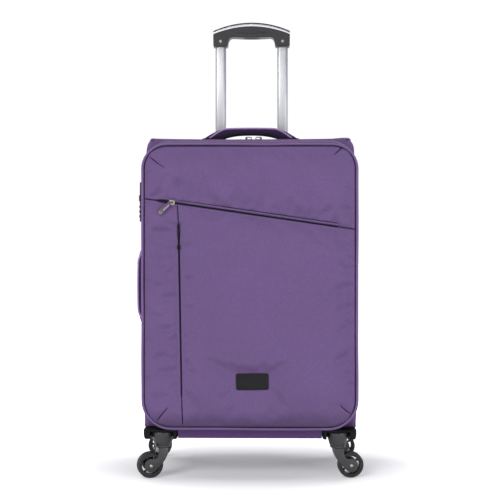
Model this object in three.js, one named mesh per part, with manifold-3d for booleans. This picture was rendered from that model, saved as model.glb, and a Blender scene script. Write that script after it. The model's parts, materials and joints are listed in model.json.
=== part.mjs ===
// Softside upright suitcase with a telescopic handle, carry handles, a side lock and four casters.
//
// Case frame, in millimetres: X runs across the front, Y from the front panel's seam to the back, and Z
// up from the floor. At the end the whole case is shifted so that the origin is the bottom centre of its box.

import * as THREE from "three";
import { mergeVertices } from "three/addons/utils/BufferGeometryUtils.js";
import Module from "manifold-3d";

const wasm = await Module();
wasm.setup();

// ---------------------------------------------------------------------------------------------------
// Driving dimensions

const GAP = 0.4; // clearance between neighbouring pieces

// Body: a deep box of padded panels
const BODY_FRONT = 52; // front face of the rim that the lid closes on
const BODY_BACK = 274;
const BODY_BOTTOM = 79;
const TRAY_TOP = 95;
const BODY_TOP = 664;
const BODY_HALF = 206; // half the width at the crest of the side panels
const PANEL = 5; // panel thickness at its edge
const CROWN = 3.5; // how far a panel swells outwards

// Lid: a shallow padded pillow, hinged at the right
const LID_HALF = 208;
const LID_BOTTOM = 100;
const LID_TOP = 648;
const LID_CORNER = 50;
const LID_BACK = 44;
const LID_CROWN = 8;

// Zip line between lid and body
const ZIP = { half: 198.5, bottom: 97.5, top: 656, radius: 42, thickness: 2.2 };
const ZIP_MIDDLE = (LID_BACK + BODY_FRONT) / 2;
const ZIP_SPLIT = 0.2; // half the gap between the two tapes
const HINGE = { x: 210, y: 48, bottom: 170, top: 584 };

// Telescopic handle
const POLE_X = 66.7;
const POLE_Y = 250;
const POLE = { width: 23, depth: 16.4, corner: 6, wall: 1.2 };
const STAGE_STEP = 1.55; // how much wider, on each side, every next tube is
const GRIP = { half: 83, shoulder: 914.5, top: 932.5, foot: 881, underside: 901, depth: 26 };
const GRIP_OPENING = 50;
const COLLAR = { half: 94, front: 234, back: 268, bottom: 634, floor: 640 };

// Casters
const WHEEL_RADIUS = 25;
const TRAIL = 25;
const CASTER_X = 171;
const CASTER_Y = { front: 40, rear: 234 };
const SOCKET_BOTTOM = 59;
const CASTER_TURN = { front_left: 18, front_right: 5, rear_left: 0, rear_right: 0 }; // degrees at rest

// Carry handles, lock and trim
const HANDLE = { half: 97, shoulder: 45, foot: 60, width: 36, pad: 16, y: 130 };
const TOP_HANDLE_RISE = 27;
const SIDE_HANDLE_RISE = 24.5;
const SIDE_HANDLE_Z = 371;
const LOCK = { bottom: 500, top: 579, y: 100, width: 22, rise: 16 };
const DIAL = { radius: 8.5, thickness: 6, pitch: 9.5, lowest: 511 };
const POCKET = { left: [-177.7, 537.7], right: [170.9, 486.7], slot: 4, slider: 0.085 };
const FLAP = { top: [-135.7, 494.8], bottom: [-129.8, 161.5], slider: 0.14 };
const BADGE = { width: 62, height: 31.5, x: 5.2, z: 192, thickness: 2 };

// ---------------------------------------------------------------------------------------------------
// Materials

const material = (color, roughness, metalness = 0) =>
  new THREE.MeshStandardMaterial({ color, roughness, metalness });

const FABRIC = material(0x70588a, 0.85);
const FABRIC_DARK = material(0x4b3266, 0.85);
const LINING = material(0x3a3a42, 0.9);
const TAPE = material(0x2c1a42, 0.8);
const PLASTIC = material(0x242426, 0.45);
const GRIP_PLASTIC = material(0x3a3a3e, 0.35);
const RUBBER = material(0x1d1d1f, 0.7);
const ALUMINIUM = material(0xc8c8d0, 0.35, 1);
const CHROME = material(0xe0e0e6, 0.12, 1);
const BRASS = material(0xc9a868, 0.3, 1);
const ZIP_METAL = material(0x9a9aa2, 0.3, 1);

// ---------------------------------------------------------------------------------------------------
// Solids

// A closed geometry from vertices and triangles, turned so that its faces point outwards.
function closedGeometry(points, triangles) {
  const position = new Float32Array(points.flatMap((p) => [p.x, p.y, p.z]));
  let volume = 0;
  for (const [a, b, c] of triangles) {
    volume += points[a].dot(new THREE.Vector3().crossVectors(points[b], points[c]));
  }
  const index = volume > 0 ? triangles.flat() : triangles.map(([a, b, c]) => [a, c, b]).flat();
  const geometry = new THREE.BufferGeometry();
  geometry.setAttribute("position", new THREE.BufferAttribute(position, 3));
  geometry.setIndex(index);
  return geometry;
}

// A solid through rings of equal length. A closed loft joins its last ring to its first, like a frame;
// an open one has a flat cap at each end.
function loft(rings, closed = false) {
  const count = rings[0].length;
  const points = rings.flat();
  const triangles = [];
  const spans = closed ? rings.length : rings.length - 1;
  for (let r = 0; r < spans; r += 1) {
    const here = r * count;
    const next = ((r + 1) % rings.length) * count;
    for (let i = 0; i < count; i += 1) {
      const j = (i + 1) % count;
      triangles.push([here + i, here + j, next + j], [here + i, next + j, next + i]);
    }
  }
  if (!closed) {
    const last = (rings.length - 1) * count;
    for (let i = 1; i < count - 1; i += 1) {
      triangles.push([0, i + 1, i], [last, last + i, last + i + 1]);
    }
  }
  return closedGeometry(points, triangles);
}

const toManifold = (geometry) => {
  const bare = geometry.clone();
  bare.deleteAttribute("normal");
  bare.deleteAttribute("uv");
  const merged = mergeVertices(bare, 1e-3);
  const vertProperties = merged.attributes.position.array;
  return new wasm.Manifold(
    new wasm.Mesh({ numProp: 3, vertProperties, triVerts: new Uint32Array(merged.index.array) }),
  );
};

const fromManifold = (solid) => {
  const mesh = solid.getMesh();
  const geometry = new THREE.BufferGeometry();
  geometry.setAttribute("position", new THREE.BufferAttribute(new Float32Array(mesh.vertProperties), 3));
  geometry.setIndex(Array.from(mesh.triVerts));
  return geometry;
};

const combine = (operation) => (first, ...others) =>
  fromManifold(others.reduce((solid, other) => solid[operation](toManifold(other)), toManifold(first)));
const join = combine("add");
const cut = combine("subtract");
const common = combine("intersect");

// ---------------------------------------------------------------------------------------------------
// Outlines and prisms

// The outline of a rounded rectangle, with steps straight pieces round each corner.
function roundedRectPoints(width, height, radius, x = 0, y = 0, steps = 3) {
  const points = [];
  for (const [corner, [across, up]] of [[1, 1], [-1, 1], [-1, -1], [1, -1]].entries()) {
    for (let i = 0; i <= steps; i += 1) {
      const angle = ((corner + i / steps) * Math.PI) / 2;
      points.push(
        new THREE.Vector2(
          x + across * (width / 2 - radius) + radius * Math.cos(angle),
          y + up * (height / 2 - radius) + radius * Math.sin(angle),
        ),
      );
    }
  }
  return points;
}

const roundedRect = (...size) => new THREE.Shape(roundedRectPoints(...size));

const AXES = {
  x: [new THREE.Vector3(0, 1, 0), new THREE.Vector3(0, 0, 1), new THREE.Vector3(1, 0, 0)],
  y: [new THREE.Vector3(1, 0, 0), new THREE.Vector3(0, 0, 1), new THREE.Vector3(0, -1, 0)],
  z: [new THREE.Vector3(1, 0, 0), new THREE.Vector3(0, 1, 0), new THREE.Vector3(0, 0, 1)],
};

// A shape extruded along an axis from low to high. The shape is drawn in the other two axes: (Y, Z) for
// x, (X, Z) for y and (X, Y) for z.
function prism(axis, shape, low, high, curveSegments = 3) {
  const geometry = new THREE.ExtrudeGeometry(shape, {
    depth: high - low,
    bevelEnabled: false,
    curveSegments,
  });
  geometry.applyMatrix4(new THREE.Matrix4().makeBasis(...AXES[axis]));
  const start = axis === "y" ? high : low;
  return geometry.translate(axis === "x" ? start : 0, axis === "y" ? start : 0, axis === "z" ? start : 0);
}

const block = (low, high) =>
  new THREE.BoxGeometry(high[0] - low[0], high[1] - low[1], high[2] - low[2]).translate(
    (high[0] + low[0]) / 2,
    (high[1] + low[1]) / 2,
    (high[2] + low[2]) / 2,
  );

// A ring of points round an upright rounded rectangle in the XZ plane, at depth y.
function uprightRing(half, bottom, top, radius, y) {
  const outline = roundedRectPoints(2 * half, top - bottom, radius, 0, (top + bottom) / 2, 6);
  return outline.map((p) => new THREE.Vector3(p.x, y, p.y));
}

// A padded panel: flat inside, square at its edge and swelling to a flat field outside. It is drawn in
// XY with its inner face at z = 0.
function paddedPanel(width, height, corner, shoulder = 26, rise = CROWN) {
  const ring = (inset, z) => {
    const radius = Math.max(corner - inset, 4);
    const outline = roundedRectPoints(width - 2 * inset, height - 2 * inset, radius);
    return outline.map((p) => new THREE.Vector3(p.x, p.y, z));
  };
  return loft([
    ring(0, 0),
    ring(0, PANEL),
    ring(shoulder / 3, PANEL + rise * 0.7),
    ring(shoulder, PANEL + rise),
  ]);
}

// ---------------------------------------------------------------------------------------------------
// Assembly

const suitcase = new THREE.Group();

function add(name, geometry, look, parent = suitcase) {
  const mesh = new THREE.Mesh(geometry, look);
  mesh.name = name;
  parent.add(mesh);
  return mesh;
}

// ---- Body panels

const PANEL_FRONT = BODY_FRONT + 4 + GAP;
const PANEL_BACK = BODY_BACK - 4;
const PANEL_DEPTH = PANEL_BACK - PANEL_FRONT - GAP;
const PANEL_CENTRE_Y = (PANEL_FRONT + PANEL_BACK - GAP) / 2;
const SIDE_INNER = BODY_HALF - PANEL - CROWN;
const SIDE_TOP = BODY_TOP - PANEL - CROWN - GAP;
const SIDE_BOTTOM = TRAY_TOP + GAP;

function sidePanel(name, side) {
  const panel = add(name, paddedPanel(PANEL_DEPTH, SIDE_TOP - SIDE_BOTTOM, 8), FABRIC);
  panel.rotation.setFromRotationMatrix(
    new THREE.Matrix4().makeBasis(
      new THREE.Vector3(0, side, 0),
      new THREE.Vector3(0, 0, 1),
      new THREE.Vector3(side, 0, 0),
    ),
  );
  panel.position.set(side * SIDE_INNER, PANEL_CENTRE_Y, (SIDE_TOP + SIDE_BOTTOM) / 2);
}
sidePanel("left_side_panel", -1);
sidePanel("right_side_panel", 1);

const collarNotch = block(
  [-COLLAR.half - GAP, COLLAR.front - GAP, -1],
  [COLLAR.half + GAP, BODY_BACK, PANEL + CROWN + 1],
);
const topPanel = paddedPanel(2 * (BODY_HALF - 5), PANEL_DEPTH, 8).translate(0, PANEL_CENTRE_Y, 0);
add("top_panel", cut(topPanel, collarNotch), FABRIC).position.z = BODY_TOP - PANEL - CROWN;

// The back is flat, so that the case can lie on it.
const backHeight = BODY_TOP - 4 - SIDE_BOTTOM;
const BACK_SHOULDER = 20;
const backPanel = add(
  "back_panel",
  paddedPanel(2 * (BODY_HALF - 4), backHeight, 12, BACK_SHOULDER, 0),
  FABRIC,
);
backPanel.rotation.set(-Math.PI / 2, 0, 0);
backPanel.position.set(0, PANEL_BACK, SIDE_BOTTOM + backHeight / 2);

// The rim is the fabric-covered frame that shows behind the lid's rounded corners.
const rimShape = roundedRect(
  2 * (BODY_HALF - 6),
  BODY_TOP - 3 - SIDE_BOTTOM,
  10,
  0,
  (BODY_TOP - 3 + SIDE_BOTTOM) / 2,
);
const RIM_BAND = 7;
rimShape.holes.push(
  roundedRect(
    2 * (ZIP.half - RIM_BAND),
    ZIP.top - ZIP.bottom - 2 * RIM_BAND,
    ZIP.radius,
    0,
    (ZIP.top + ZIP.bottom) / 2,
    6,
  ),
);
add("front_rim", prism("y", rimShape, BODY_FRONT, BODY_FRONT + 4), FABRIC);

// ---- Base tray, notched at its corners for the wheel housings

const HOUSING = { inner: 139.5, outer: 206.5, bottom: 76, front: [24, 76], rear: [206, BODY_BACK - 2] };
const TRAY_FRONT = 20;
const WALL = 3;

function trayPlan(inset) {
  const shape = new THREE.Shape();
  const side = BODY_HALF - inset;
  const notchX = HOUSING.inner - GAP - inset;
  const notchFront = HOUSING.front[1] + GAP + inset;
  const notchRear = HOUSING.rear[0] - GAP - inset;
  const front = TRAY_FRONT + inset;
  const back = BODY_BACK - inset;
  const quarter = [
    [notchX, front],
    [notchX, notchFront],
    [side, notchFront],
    [side, notchRear],
    [notchX, notchRear],
    [notchX, back],
  ];
  const mirrored = quarter.map(([x, y]) => [-x, y]).reverse();
  shape.setFromPoints([...quarter, ...mirrored].map(([x, y]) => new THREE.Vector2(x, y)));
  return shape;
}

const trayHollow = common(
  prism("z", trayPlan(WALL), BODY_BOTTOM + WALL, TRAY_TOP + 1),
  block([-BODY_HALF, BODY_FRONT + WALL, BODY_BOTTOM], [BODY_HALF, BODY_BACK, TRAY_TOP + 2]),
);
add("base_tray", cut(prism("z", trayPlan(0), BODY_BOTTOM, TRAY_TOP), trayHollow), FABRIC_DARK);

// ---- Back frame

add(
  "inner_back_board",
  block([-SIDE_INNER + 1, 226, TRAY_TOP + GAP], [SIDE_INNER - 1, 229, SIDE_TOP - 1]),
  LINING,
);

// ---- Telescopic handle: the outer tubes stay in the case, two more stages slide out

function tube(stage, low, high) {
  const grow = 2 * stage * STAGE_STEP;
  const { width, depth, corner, wall } = POLE;
  const shape = roundedRect(width + grow, depth + grow, corner);
  shape.holes.push(roundedRect(width + grow - 2 * wall, depth + grow - 2 * wall, corner - wall));
  return prism("z", shape, low, high);
}

const STAGES = [
  { name: "inner_tube", stage: 0, low: 585, high: 893 },
  { name: "middle_tube", stage: 1, low: 340, high: 638 },
  { name: "outer_tube", stage: 2, low: BODY_BOTTOM + WALL + GAP, high: COLLAR.bottom - GAP },
];
for (const [side, sign] of [["left", -1], ["right", 1]]) {
  for (const { name, stage, low, high } of STAGES) {
    add(`${name}_${side}`, tube(stage, low, high), ALUMINIUM).position.set(sign * POLE_X, POLE_Y, 0);
  }
}

// ---- Collar: a well that the grip sinks into, with a hole for each pole

function poleHoles(stage, low, high) {
  const grow = 2 * stage * STAGE_STEP + 2 * GAP;
  return [-1, 1].map((sign) => {
    const shape = roundedRect(POLE.width + grow, POLE.depth + grow, POLE.corner, sign * POLE_X, POLE_Y);
    return prism("z", shape, low, high);
  });
}

const collarCentre = (COLLAR.front + COLLAR.back) / 2;
const collarPlan = (inset, corner) =>
  roundedRect(2 * (COLLAR.half - inset), COLLAR.back - COLLAR.front - 2 * inset, corner, 0, collarCentre);
add(
  "handle_collar",
  cut(
    prism("z", collarPlan(0, 6), COLLAR.bottom, BODY_TOP + 1.5),
    prism("z", collarPlan(2.5, 4), COLLAR.floor, BODY_TOP + 3),
    ...poleHoles(1, COLLAR.bottom - 1, COLLAR.floor + 1),
  ),
  PLASTIC,
);

// ---- Grip, its bright stripe, release button and screws

const gripRise = GRIP.top - GRIP.shoulder;
const ARC_STEPS = 6;
const GRIP_ARC = (GRIP.half ** 2 + gripRise ** 2) / (2 * gripRise); // radius of the arched top

// The area under the grip's arched top, lowered by drop, down to a level base.
function archShape(drop, base, inset = 0) {
  const centre = GRIP.top - GRIP_ARC;
  const half = GRIP.half - inset;
  const radius = GRIP_ARC - drop;
  const spread = Math.asin(half / radius);
  const shape = new THREE.Shape();
  shape.moveTo(-half, base);
  shape.lineTo(half, base);
  shape.absarc(0, centre, radius, Math.PI / 2 - spread, Math.PI / 2 + spread);
  shape.closePath();
  return shape;
}

const gripFront = POLE_Y - GRIP.depth / 2;
const gripBack = POLE_Y + GRIP.depth / 2;
const handOpening = roundedRect(2 * GRIP_OPENING, 60, 9, 0, GRIP.underside - 30);
const STRIPE = { drop: 3, height: 4.2, sunk: 1.5 };

function stripeBand(drop, height, inset, margin) {
  const base = GRIP.foot;
  const low = gripFront + margin;
  const high = gripBack - margin;
  return cut(
    prism("y", archShape(drop, base, inset), low, high, ARC_STEPS),
    prism("y", archShape(drop + height, base - 1, inset - 1), low - 1, high + 1, ARC_STEPS),
  );
}

const stripeCore = stripeBand(STRIPE.drop - 1, STRIPE.height + 2, STRIPE.sunk, STRIPE.sunk);
const stripeGroove = cut(stripeBand(STRIPE.drop - GAP / 2, STRIPE.height + GAP, -1, -1), stripeCore);
const stripeBed = STRIPE.sunk - GAP / 2;
const stripeHole = stripeBand(STRIPE.drop - 1, STRIPE.height + 2, stripeBed, stripeBed);
const stripeOuter = stripeBand(STRIPE.drop + GAP / 2, STRIPE.height - GAP, 0, 0);

const BUTTON = { half: 36, low: 899.5, high: 906, depth: 16, travel: 3 };
const buttonShape = (grow) => {
  const shape = new THREE.Shape();
  shape.moveTo(BUTTON.half + grow, GRIP.underside + 1);
  shape.lineTo(BUTTON.half + grow, BUTTON.high + grow);
  shape.lineTo(-BUTTON.half - grow, BUTTON.high + grow);
  shape.lineTo(-BUTTON.half - grow, GRIP.underside + 1);
  shape.quadraticCurveTo(0, BUTTON.low - 2, BUTTON.half + grow, GRIP.underside + 1);
  return shape;
};
const buttonPocket = block(
  [-BUTTON.half - GAP, POLE_Y - BUTTON.depth / 2 - GAP, GRIP.underside - 2],
  [BUTTON.half + GAP, POLE_Y + BUTTON.depth / 2 + GAP, BUTTON.high + BUTTON.travel + GAP],
);

const SCREW = { radius: 3, length: 3, z: 892 };
const screwHole = (sign, radius, low, high) => {
  const hole = new THREE.CylinderGeometry(radius, radius, high - low, 12);
  return hole.translate(sign * POLE_X, (high + low) / 2, SCREW.z);
};

const gripBlock = cut(
  prism("y", archShape(0, GRIP.foot), gripFront, gripBack, ARC_STEPS),
  prism("y", handOpening, gripFront - 1, gripBack + 1),
);
add(
  "grip",
  cut(
    gripBlock,
    stripeGroove,
    buttonPocket,
    ...poleHoles(0, GRIP.foot - 1, 894),
    screwHole(-1, SCREW.radius + GAP, gripFront - 1, gripFront + SCREW.length),
    screwHole(1, SCREW.radius + GAP, gripFront - 1, gripFront + SCREW.length),
  ),
  GRIP_PLASTIC,
);
add("grip_stripe", cut(stripeOuter, stripeHole), CHROME);
add(
  "grip_button",
  prism("y", buttonShape(0), POLE_Y - BUTTON.depth / 2, POLE_Y + BUTTON.depth / 2, 8),
  PLASTIC,
);
for (const [side, sign] of [["left", -1], ["right", 1]]) {
  add(
    `grip_screw_${side}`,
    screwHole(sign, SCREW.radius, gripFront - 0.3, gripFront + SCREW.length - GAP),
    BRASS,
  );
}

// ---- Carry handles: a padded arch on two sewn anchor plates, drawn in XZ with the panel at z = 0

function carryHandle(rise) {
  const { half, shoulder, foot, pad, width } = HANDLE;
  const toe = 3; // height of the pad's ends above the panel
  const shape = new THREE.Shape();
  shape.moveTo(half, toe);
  shape.bezierCurveTo(half - 18, rise * 0.55, shoulder + 22, rise * 0.95, shoulder, rise - 1);
  shape.quadraticCurveTo(0, rise + 1, -shoulder, rise - 1);
  shape.bezierCurveTo(-shoulder - 22, rise * 0.95, -half + 18, rise * 0.55, -half, toe);
  shape.lineTo(-foot, toe);
  shape.quadraticCurveTo(0, 2 * (rise - pad) - toe, foot, toe);
  shape.closePath();
  return prism("y", shape, -width / 2, width / 2, 6);
}

const anchorPlate = (sign) =>
  block(
    [sign < 0 ? -HANDLE.half + 4 : HANDLE.foot + 8, -13, GAP],
    [sign < 0 ? -HANDLE.foot - 8 : HANDLE.half - 4, 13, 3 - GAP],
  );

function addHandle(name, rise, anchors, place) {
  const group = new THREE.Group();
  place(group);
  suitcase.add(group);
  add(name, carryHandle(rise), FABRIC, group);
  add(anchors[0], anchorPlate(-1), PLASTIC, group);
  add(anchors[1], anchorPlate(1), PLASTIC, group);
}

addHandle("top_handle", TOP_HANDLE_RISE, ["top_anchor_left", "top_anchor_right"], (group) => {
  group.position.set(0, HANDLE.y, BODY_TOP);
});
addHandle("side_handle", SIDE_HANDLE_RISE, ["side_anchor_lower", "side_anchor_upper"], (group) => {
  group.rotation.set(0, -Math.PI / 2, 0);
  group.position.set(-BODY_HALF, HANDLE.y, SIDE_HANDLE_Z);
});

// ---- Combination lock on the left side

const lockFace = -BODY_HALF - GAP;
const lockShape = new THREE.Shape();
lockShape.moveTo(lockFace, LOCK.y - LOCK.width / 2);
lockShape.lineTo(lockFace, LOCK.y + LOCK.width / 2);
lockShape.lineTo(lockFace - LOCK.rise + 4, LOCK.y + LOCK.width / 2);
lockShape.lineTo(lockFace - LOCK.rise, LOCK.y + LOCK.width / 2 - 4);
lockShape.lineTo(lockFace - LOCK.rise, LOCK.y - LOCK.width / 2 + 4);
lockShape.lineTo(lockFace - LOCK.rise + 4, LOCK.y - LOCK.width / 2);
lockShape.closePath();

const dialX = lockFace - LOCK.rise + DIAL.radius - 2;
const dialZ = [0, 1, 2].map((i) => DIAL.lowest + i * DIAL.pitch);
const dialSlots = dialZ.map((z) =>
  block(
    [lockFace - LOCK.rise - 1, LOCK.y - DIAL.radius - GAP, z - DIAL.thickness / 2 - GAP],
    [dialX + DIAL.radius + GAP, LOCK.y + DIAL.radius + GAP, z + DIAL.thickness / 2 + GAP],
  ),
);
const RELEASE = { low: 541, high: 553, half: 6, travel: 1.5 };
const releaseBlock = (grow, inner) =>
  block(
    [lockFace - LOCK.rise - 2, LOCK.y - RELEASE.half - grow, RELEASE.low - grow],
    [inner, LOCK.y + RELEASE.half + grow, RELEASE.high + grow],
  );
const pullSlits = [-4, 4].map((y) =>
  block([lockFace - LOCK.rise - 1, LOCK.y + y - 1.3, 560], [lockFace - LOCK.rise + 9, LOCK.y + y + 1.3, 572]),
);
add(
  "lock_body",
  cut(
    prism("z", lockShape, LOCK.bottom, LOCK.top),
    ...dialSlots,
    ...pullSlits,
    releaseBlock(GAP, lockFace - LOCK.rise + 4 + RELEASE.travel + GAP),
  ),
  PLASTIC,
);
add("lock_release", releaseBlock(0, lockFace - LOCK.rise + 4), GRIP_PLASTIC);
dialZ.forEach((z, i) => {
  const dial = new THREE.CylinderGeometry(DIAL.radius, DIAL.radius, DIAL.thickness, 20);
  dial.rotateX(Math.PI / 2);
  add(`lock_dial_${i + 1}`, dial, PLASTIC).position.set(dialX, LOCK.y, z);
});

// ---- Main zip tapes, open at the hinge, and the fabric hinge strip

function zipLine(inset) {
  const { half, bottom, top, radius } = ZIP;
  const path = new THREE.Path();
  path.moveTo(half - inset, HINGE.top + 4);
  path.lineTo(half - inset, top - radius);
  path.absarc(half - radius, top - radius, radius - inset, 0, Math.PI / 2);
  path.absarc(radius - half, top - radius, radius - inset, Math.PI / 2, Math.PI);
  path.absarc(radius - half, bottom + radius, radius - inset, Math.PI, Math.PI * 1.5);
  path.absarc(half - radius, bottom + radius, radius - inset, Math.PI * 1.5, Math.PI * 2);
  path.lineTo(half - inset, HINGE.bottom - 4);
  return path.getPoints(3);
}

const tapeShape = new THREE.Shape([...zipLine(0), ...zipLine(ZIP.thickness).reverse()]);
add("zip_tape_body", prism("y", tapeShape, ZIP_MIDDLE + ZIP_SPLIT, BODY_FRONT - GAP), TAPE);
add("zip_tape_lid", prism("y", tapeShape, LID_BACK + GAP, ZIP_MIDDLE - ZIP_SPLIT), TAPE);
add("hinge_strip", block([206.8, 57, HINGE.bottom], [209, 84, HINGE.top]), FABRIC_DARK);

// ---- Lid

const PANEL_SEAM = 4; // depth of the seam between the front panel and the gusset
const frontPanel = loft([
  uprightRing(LID_HALF - 0.5, LID_BOTTOM + 0.5, LID_TOP - 0.5, LID_CORNER, PANEL_SEAM - GAP),
  uprightRing(LID_HALF, LID_BOTTOM, LID_TOP, LID_CORNER, 0),
  uprightRing(LID_HALF - 8, LID_BOTTOM + 8, LID_TOP - 8, LID_CORNER - 6, -LID_CROWN * 0.6),
  uprightRing(LID_HALF - 26, LID_BOTTOM + 26, LID_TOP - 26, LID_CORNER - 18, -LID_CROWN),
]);

// A straight groove in the front panel from one (X, Z) point to another.
function groove(from, to, width, depth) {
  const start = new THREE.Vector2(...from);
  const along = new THREE.Vector2(...to).sub(start);
  const half = width / 2;
  const bar = block([-half, -LID_CROWN - 1, -half], [along.length() + half, depth - LID_CROWN, half]);
  return bar.rotateY(-along.angle()).translate(start.x, 0, start.y);
}
add(
  "lid_front_panel",
  cut(frontPanel, groove(POCKET.left, POCKET.right, POCKET.slot, 2), groove(FLAP.top, FLAP.bottom, 3, 2)),
  FABRIC,
);

const GUSSET_WALL = 4;
const gussetRings = [
  [LID_HALF - 1, LID_BOTTOM + 1, LID_TOP - 1, LID_CORNER, PANEL_SEAM],
  [LID_HALF - 2.5, LID_BOTTOM - 0.5, LID_TOP + 3, LID_CORNER - 2, LID_BACK / 2],
  [ZIP.half + 0.5, ZIP.bottom, ZIP.top - 0.5, ZIP.radius, LID_BACK],
];
const inward = ([half, bottom, top, radius, y]) => [
  half - GUSSET_WALL,
  bottom + GUSSET_WALL,
  top - GUSSET_WALL,
  radius - GUSSET_WALL,
  y,
];
const gussetInner = gussetRings.map(inward).reverse();
add(
  "lid_gusset",
  loft([...gussetRings, ...gussetInner].map((ring) => uprightRing(...ring)), true),
  FABRIC,
);

const liningShape = roundedRect(
  2 * (ZIP.half - GUSSET_WALL - 1),
  ZIP.top - ZIP.bottom - 2 * GUSSET_WALL - 3,
  ZIP.radius - GUSSET_WALL,
  0,
  (ZIP.top + ZIP.bottom) / 2,
  6,
);
add("lid_lining", prism("y", liningShape, LID_BACK - 4, LID_BACK - 2), LINING);

const badgeShape = roundedRect(BADGE.width, BADGE.height, 4, BADGE.x, BADGE.z);
add(
  "badge",
  prism("y", badgeShape, -LID_CROWN - GAP - BADGE.thickness, -LID_CROWN - GAP, 4),
  RUBBER,
);

// ---- Zip sliders and pulls. A slider is drawn along X with its base on z = 0; its pull turns on a bar
// along Y that two posts carry.

const BAR_RADIUS = 0.9;

function sliderBody(length, width, thickness, span, barHeight) {
  const post = (sign) => {
    const inner = sign > 0 ? span / 2 : -span / 2 - 1.2;
    return block([-1.2, inner, thickness - 0.5], [1.2, inner + 1.2, barHeight + 1.2]);
  };
  const bar = new THREE.CylinderGeometry(BAR_RADIUS, BAR_RADIUS, span + 1, 10);
  const plate = prism("z", roundedRect(length, width, 2.5), 0, thickness, 3);
  return join(plate, post(-1), post(1), bar.translate(0, 0, barHeight));
}

// The ring pull is an oval ring in the XZ plane, hooked on its bar at the origin and reaching to +X.
function ringPull(length, height, thickness) {
  const wire = 1.6;
  const centre = length / 2 - wire - BAR_RADIUS - GAP;
  const shape = roundedRect(length, height, height / 2 - 0.2, centre, 0, 4);
  shape.holes.push(roundedRect(length - 2 * wire, height - 2 * wire, height / 2 - wire - 0.2, centre, 0, 4));
  return prism("y", shape, -thickness / 2, thickness / 2);
}

const MAIN = { length: 12, width: 7.4, thickness: 2, bar: 5.4, ring: [13, 6, 1.6] };
for (const [side, sign, x] of [["left", 1, -6.5], ["right", -1, 20.5]]) {
  const slider = add(
    `main_slider_${side}`,
    sliderBody(MAIN.length, MAIN.width, MAIN.thickness, MAIN.ring[2] + 2 * GAP, MAIN.bar),
    ZIP_METAL,
  );
  slider.position.set(x, ZIP_MIDDLE, ZIP.top + GAP);
  const pull = add(`main_pull_${side}`, ringPull(...MAIN.ring), ZIP_METAL);
  pull.position.set(x, ZIP_MIDDLE, ZIP.top + GAP + MAIN.bar);
  pull.rotation.y = sign > 0 ? 0 : Math.PI;
}

// A pocket slider rides on the front panel: its own X runs along the zip and its Z points forwards.
function onPanel(mesh, from, to, fraction, lift) {
  const start = new THREE.Vector2(...from);
  const along = new THREE.Vector2(...to).sub(start);
  const place = start.clone().addScaledVector(along, fraction);
  const x = new THREE.Vector3(along.x, 0, along.y).normalize();
  const z = new THREE.Vector3(0, -1, 0);
  const y = new THREE.Vector3().crossVectors(z, x);
  mesh.rotation.setFromRotationMatrix(new THREE.Matrix4().makeBasis(x, y, z));
  mesh.position.set(place.x, -LID_CROWN - lift, place.y);
}

const POCKET_SLIDER = { length: 11, width: 9, thickness: 2.4, span: 4.8, bar: 5.2 };
const pocketSlider = add(
  "pocket_slider",
  sliderBody(
    POCKET_SLIDER.length,
    POCKET_SLIDER.width,
    POCKET_SLIDER.thickness,
    POCKET_SLIDER.span,
    POCKET_SLIDER.bar,
  ),
  ZIP_METAL,
);
onPanel(pocketSlider, POCKET.left, POCKET.right, POCKET.slider, GAP);

// The tab hangs down and to the left from a short sleeve round the slider's bar.
const TAB = { length: 32, width: 9, thickness: 2.2, slant: 231 };
const sleeve = new THREE.CylinderGeometry(2.2, 2.2, POCKET_SLIDER.span - 2 * GAP, 12);
const tabShape = roundedRect(TAB.length, TAB.width, 3, TAB.length / 2, 0);
const tab = prism("z", tabShape, -TAB.thickness / 2, TAB.thickness / 2, 3)
  .rotateZ(THREE.MathUtils.degToRad(TAB.slant))
  .translate(-1.2, 0, 0);
const sleeveBore = new THREE.CylinderGeometry(BAR_RADIUS + GAP, BAR_RADIUS + GAP, 20, 12);
const aroundPosts = [-1, 1].map((sign) => {
  const inner = POCKET_SLIDER.span / 2 - GAP;
  return sign > 0 ? block([-2, inner, -9], [2, 9, 9]) : block([-2, -9, -9], [2, -inner, 9]);
});
const pocketPull = add(
  "pocket_pull",
  cut(join(sleeve, cut(tab, ...aroundPosts)), sleeveBore),
  ZIP_METAL,
);
onPanel(pocketPull, POCKET.left, POCKET.right, POCKET.slider, GAP + POCKET_SLIDER.bar);

const FLAP_SLIDER = { length: 9, width: 6, thickness: 2, span: 2.4, bar: 2.6 };
const flapSlider = add(
  "flap_slider",
  sliderBody(FLAP_SLIDER.length, FLAP_SLIDER.width, FLAP_SLIDER.thickness, FLAP_SLIDER.span, FLAP_SLIDER.bar),
  ZIP_METAL,
);
onPanel(flapSlider, FLAP.top, FLAP.bottom, FLAP.slider, GAP);

// ---- Wheel housings and casters

const BORE = 2.4; // hub bore radius
const NECK = { radius: 10, bottom: 47 };

const NICHE = { radius: 22.5, top: 91 }; // hollow round each socket, open below and towards the case's end

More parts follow.
